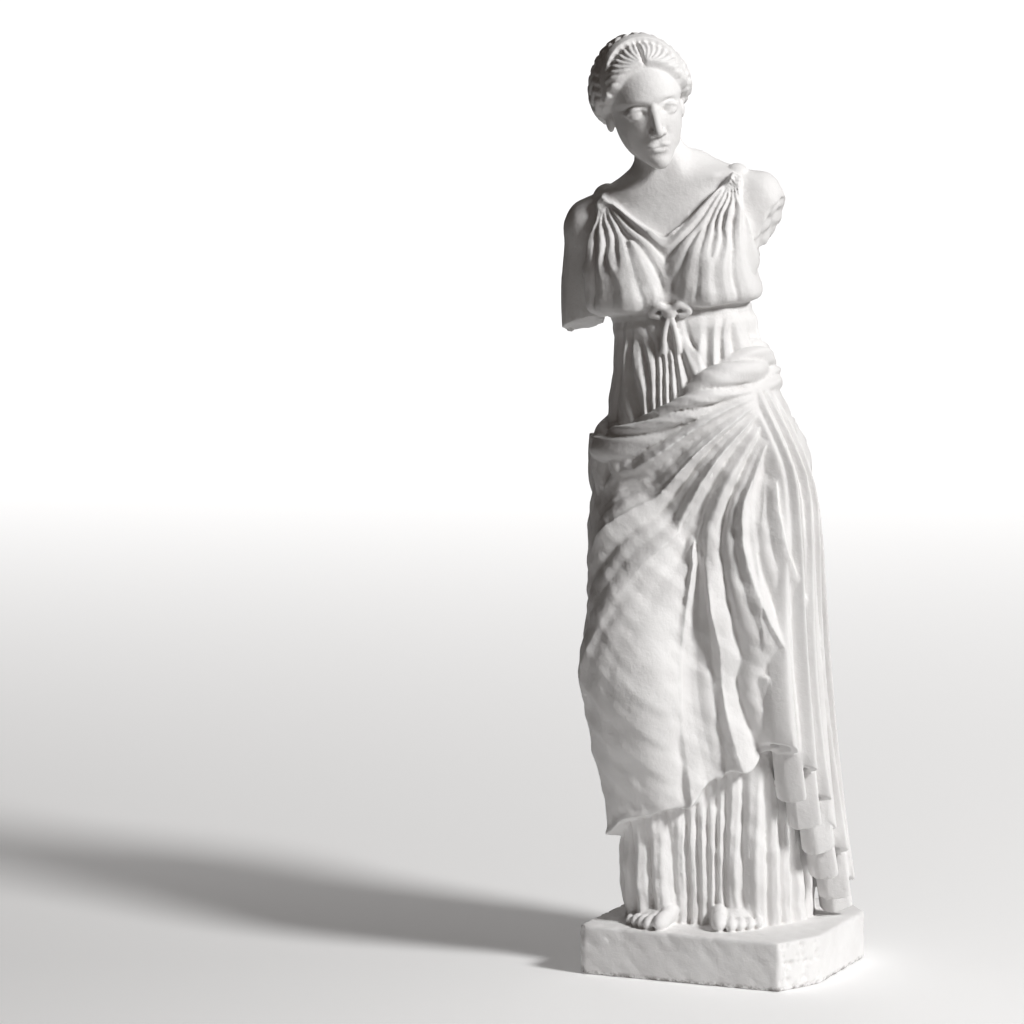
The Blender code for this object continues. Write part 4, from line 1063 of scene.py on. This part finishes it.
def studio():
    """A white paper sweep that widens away from the camera, on the dark floor of a dim room."""
    profile = [(PAPER_FRONT, 0.0), (0.5, 0.0), (PAPER_DEPTH, 0.0)]
    for step in range(1, 13):
        angle = math.radians(7.5 * step)
        across, up = PAPER_CURVE * math.sin(angle), PAPER_CURVE - PAPER_CURVE * math.cos(angle)
        profile.append((PAPER_DEPTH + across, up))
    profile.append((PAPER_DEPTH + PAPER_CURVE, PAPER_TOP))
    rows = []
    for y, z in profile:
        distance = CAMERA_DISTANCE + y
        left = -PAPER_LEFT * distance - PAPER_MARGIN
        rows.append((left, PAPER_RIGHT * distance + PAPER_MARGIN, y, z))
    nodes, links, surface = sheet("studio_paper", rows, (0.93, 0.93, 0.93))
    surface.inputs["Emission Color"].default_value = (1.0, 1.0, 1.0, 1)
    # The paper glows, a painted light that is brighter the further behind the figure it lies
    place = nodes.new("ShaderNodeTexCoord")
    way = nodes.new("ShaderNodeVectorMath")
    way.operation = "DOT_PRODUCT"
    a = math.radians(CAMERA_AZIMUTH)
    way.inputs[1].default_value = (-math.sin(a), math.cos(a), 0)
    links.new(place.outputs["Object"], way.inputs[0])
    glow = spread(nodes, links, way.outputs["Value"], 0.0, 2.0, 0.12, 0.90)
    links.new(glow, surface.inputs["Emission Strength"])
    floor = [(-FLOOR_HALF, FLOOR_HALF, y, -FLOOR_DROP) for y in (-FLOOR_HALF, FLOOR_HALF)]
    sheet("studio_floor", floor, (0.12, 0.11, 0.10))


def area_light(name, azimuth, elevation, distance, size, power, colour):
    lamp = bpy.data.lights.new(name, "AREA")
    lamp.shape = "DISK"
    lamp.size = size
    lamp.energy = power
    lamp.color = colour
    holder = bpy.data.objects.new(name, lamp)
    bpy.context.scene.collection.objects.link(holder)
    a, e = math.radians(azimuth), math.radians(elevation)
    way = Vector((math.sin(a) * math.cos(e), -math.cos(a) * math.cos(e), math.sin(e)))
    holder.location = Vector((0, 0, LAMP_AIM_HEIGHT)) + distance * way
    holder.rotation_mode = "QUATERNION"
    holder.rotation_quaternion = way.to_track_quat("Z", "Y")


# The paper: where it starts, turns up and ends, how fast it widens to the left and to the right with
# the distance from the camera, and what it reaches past that
PAPER_FRONT = -0.35
PAPER_DEPTH = 3.0
PAPER_CURVE = 1.5
PAPER_TOP = 3.5
PAPER_LEFT = 0.170
PAPER_RIGHT = 0.075
PAPER_MARGIN = 0.05
FLOOR_HALF = 6
FLOOR_DROP = 0.002
# The camera, at the photo's angle: from the figure's left of the plinth's front, a little above it
CAMERA_AZIMUTH = 21.7
CAMERA_DISTANCE = 2.0
CAMERA_HEIGHT = 0.45
PICTURE = 1024
LENS = 157.6
SENSOR_WIDTH = 36.0
AIM = (0.0, 0.0, 0.205)
# Where the aim shows in the picture
AIM_PIXEL = (730.0, 513.5)
# The lamps, all turned to one height: name, azimuth, elevation, distance, size, power and colour
LAMP_AIM_HEIGHT = 0.21
LAMPS = (
    ("key", 77, 34, 1.7, 0.36, 30, (1.0, 0.995, 0.99)),
    ("front fill", 30, 25, 2.2, 1.2, 1.3, (1.0, 0.93, 0.88)),
    ("back", 200, 40, 2.2, 1.2, 1.2, (1.0, 0.95, 0.91)),
)
WORLD_COLOUR = (1.0, 0.82, 0.72, 1)
WORLD_STRENGTH = 0.035


def camera():
    holder = bpy.data.objects.new("camera", bpy.data.cameras.new("camera"))
    bpy.context.scene.collection.objects.link(holder)
    holder.data.sensor_width = SENSOR_WIDTH
    holder.data.lens = LENS
    a = math.radians(CAMERA_AZIMUTH)
    holder.location = (CAMERA_DISTANCE * math.sin(a), -CAMERA_DISTANCE * math.cos(a), CAMERA_HEIGHT)
    to_aim = Vector(AIM) - holder.location
    straight = to_aim.to_track_quat("-Z", "Y").to_matrix()
    focal = LENS / SENSOR_WIDTH * PICTURE
    across = math.atan((AIM_PIXEL[0] - PICTURE / 2) / focal)
    down = math.atan((AIM_PIXEL[1] - PICTURE / 2) / focal)
    turned = straight @ Matrix.Rotation(across, 3, "Y") @ Matrix.Rotation(down, 3, "X")
    holder.rotation_mode = "QUATERNION"
    holder.rotation_quaternion = turned.to_quaternion()
    bpy.context.scene.camera = holder


def lights():
    for lamp in LAMPS:
        area_light(*lamp)
    world = bpy.data.worlds.new("studio")
    world.use_nodes = True
    background = world.node_tree.nodes["Background"]
    background.inputs["Color"].default_value = WORLD_COLOUR
    background.inputs["Strength"].default_value = WORLD_STRENGTH
    bpy.context.scene.world = world
    bpy.context.scene.view_settings.view_transform = "Standard"


camera()
build_statue()
studio()
lights()
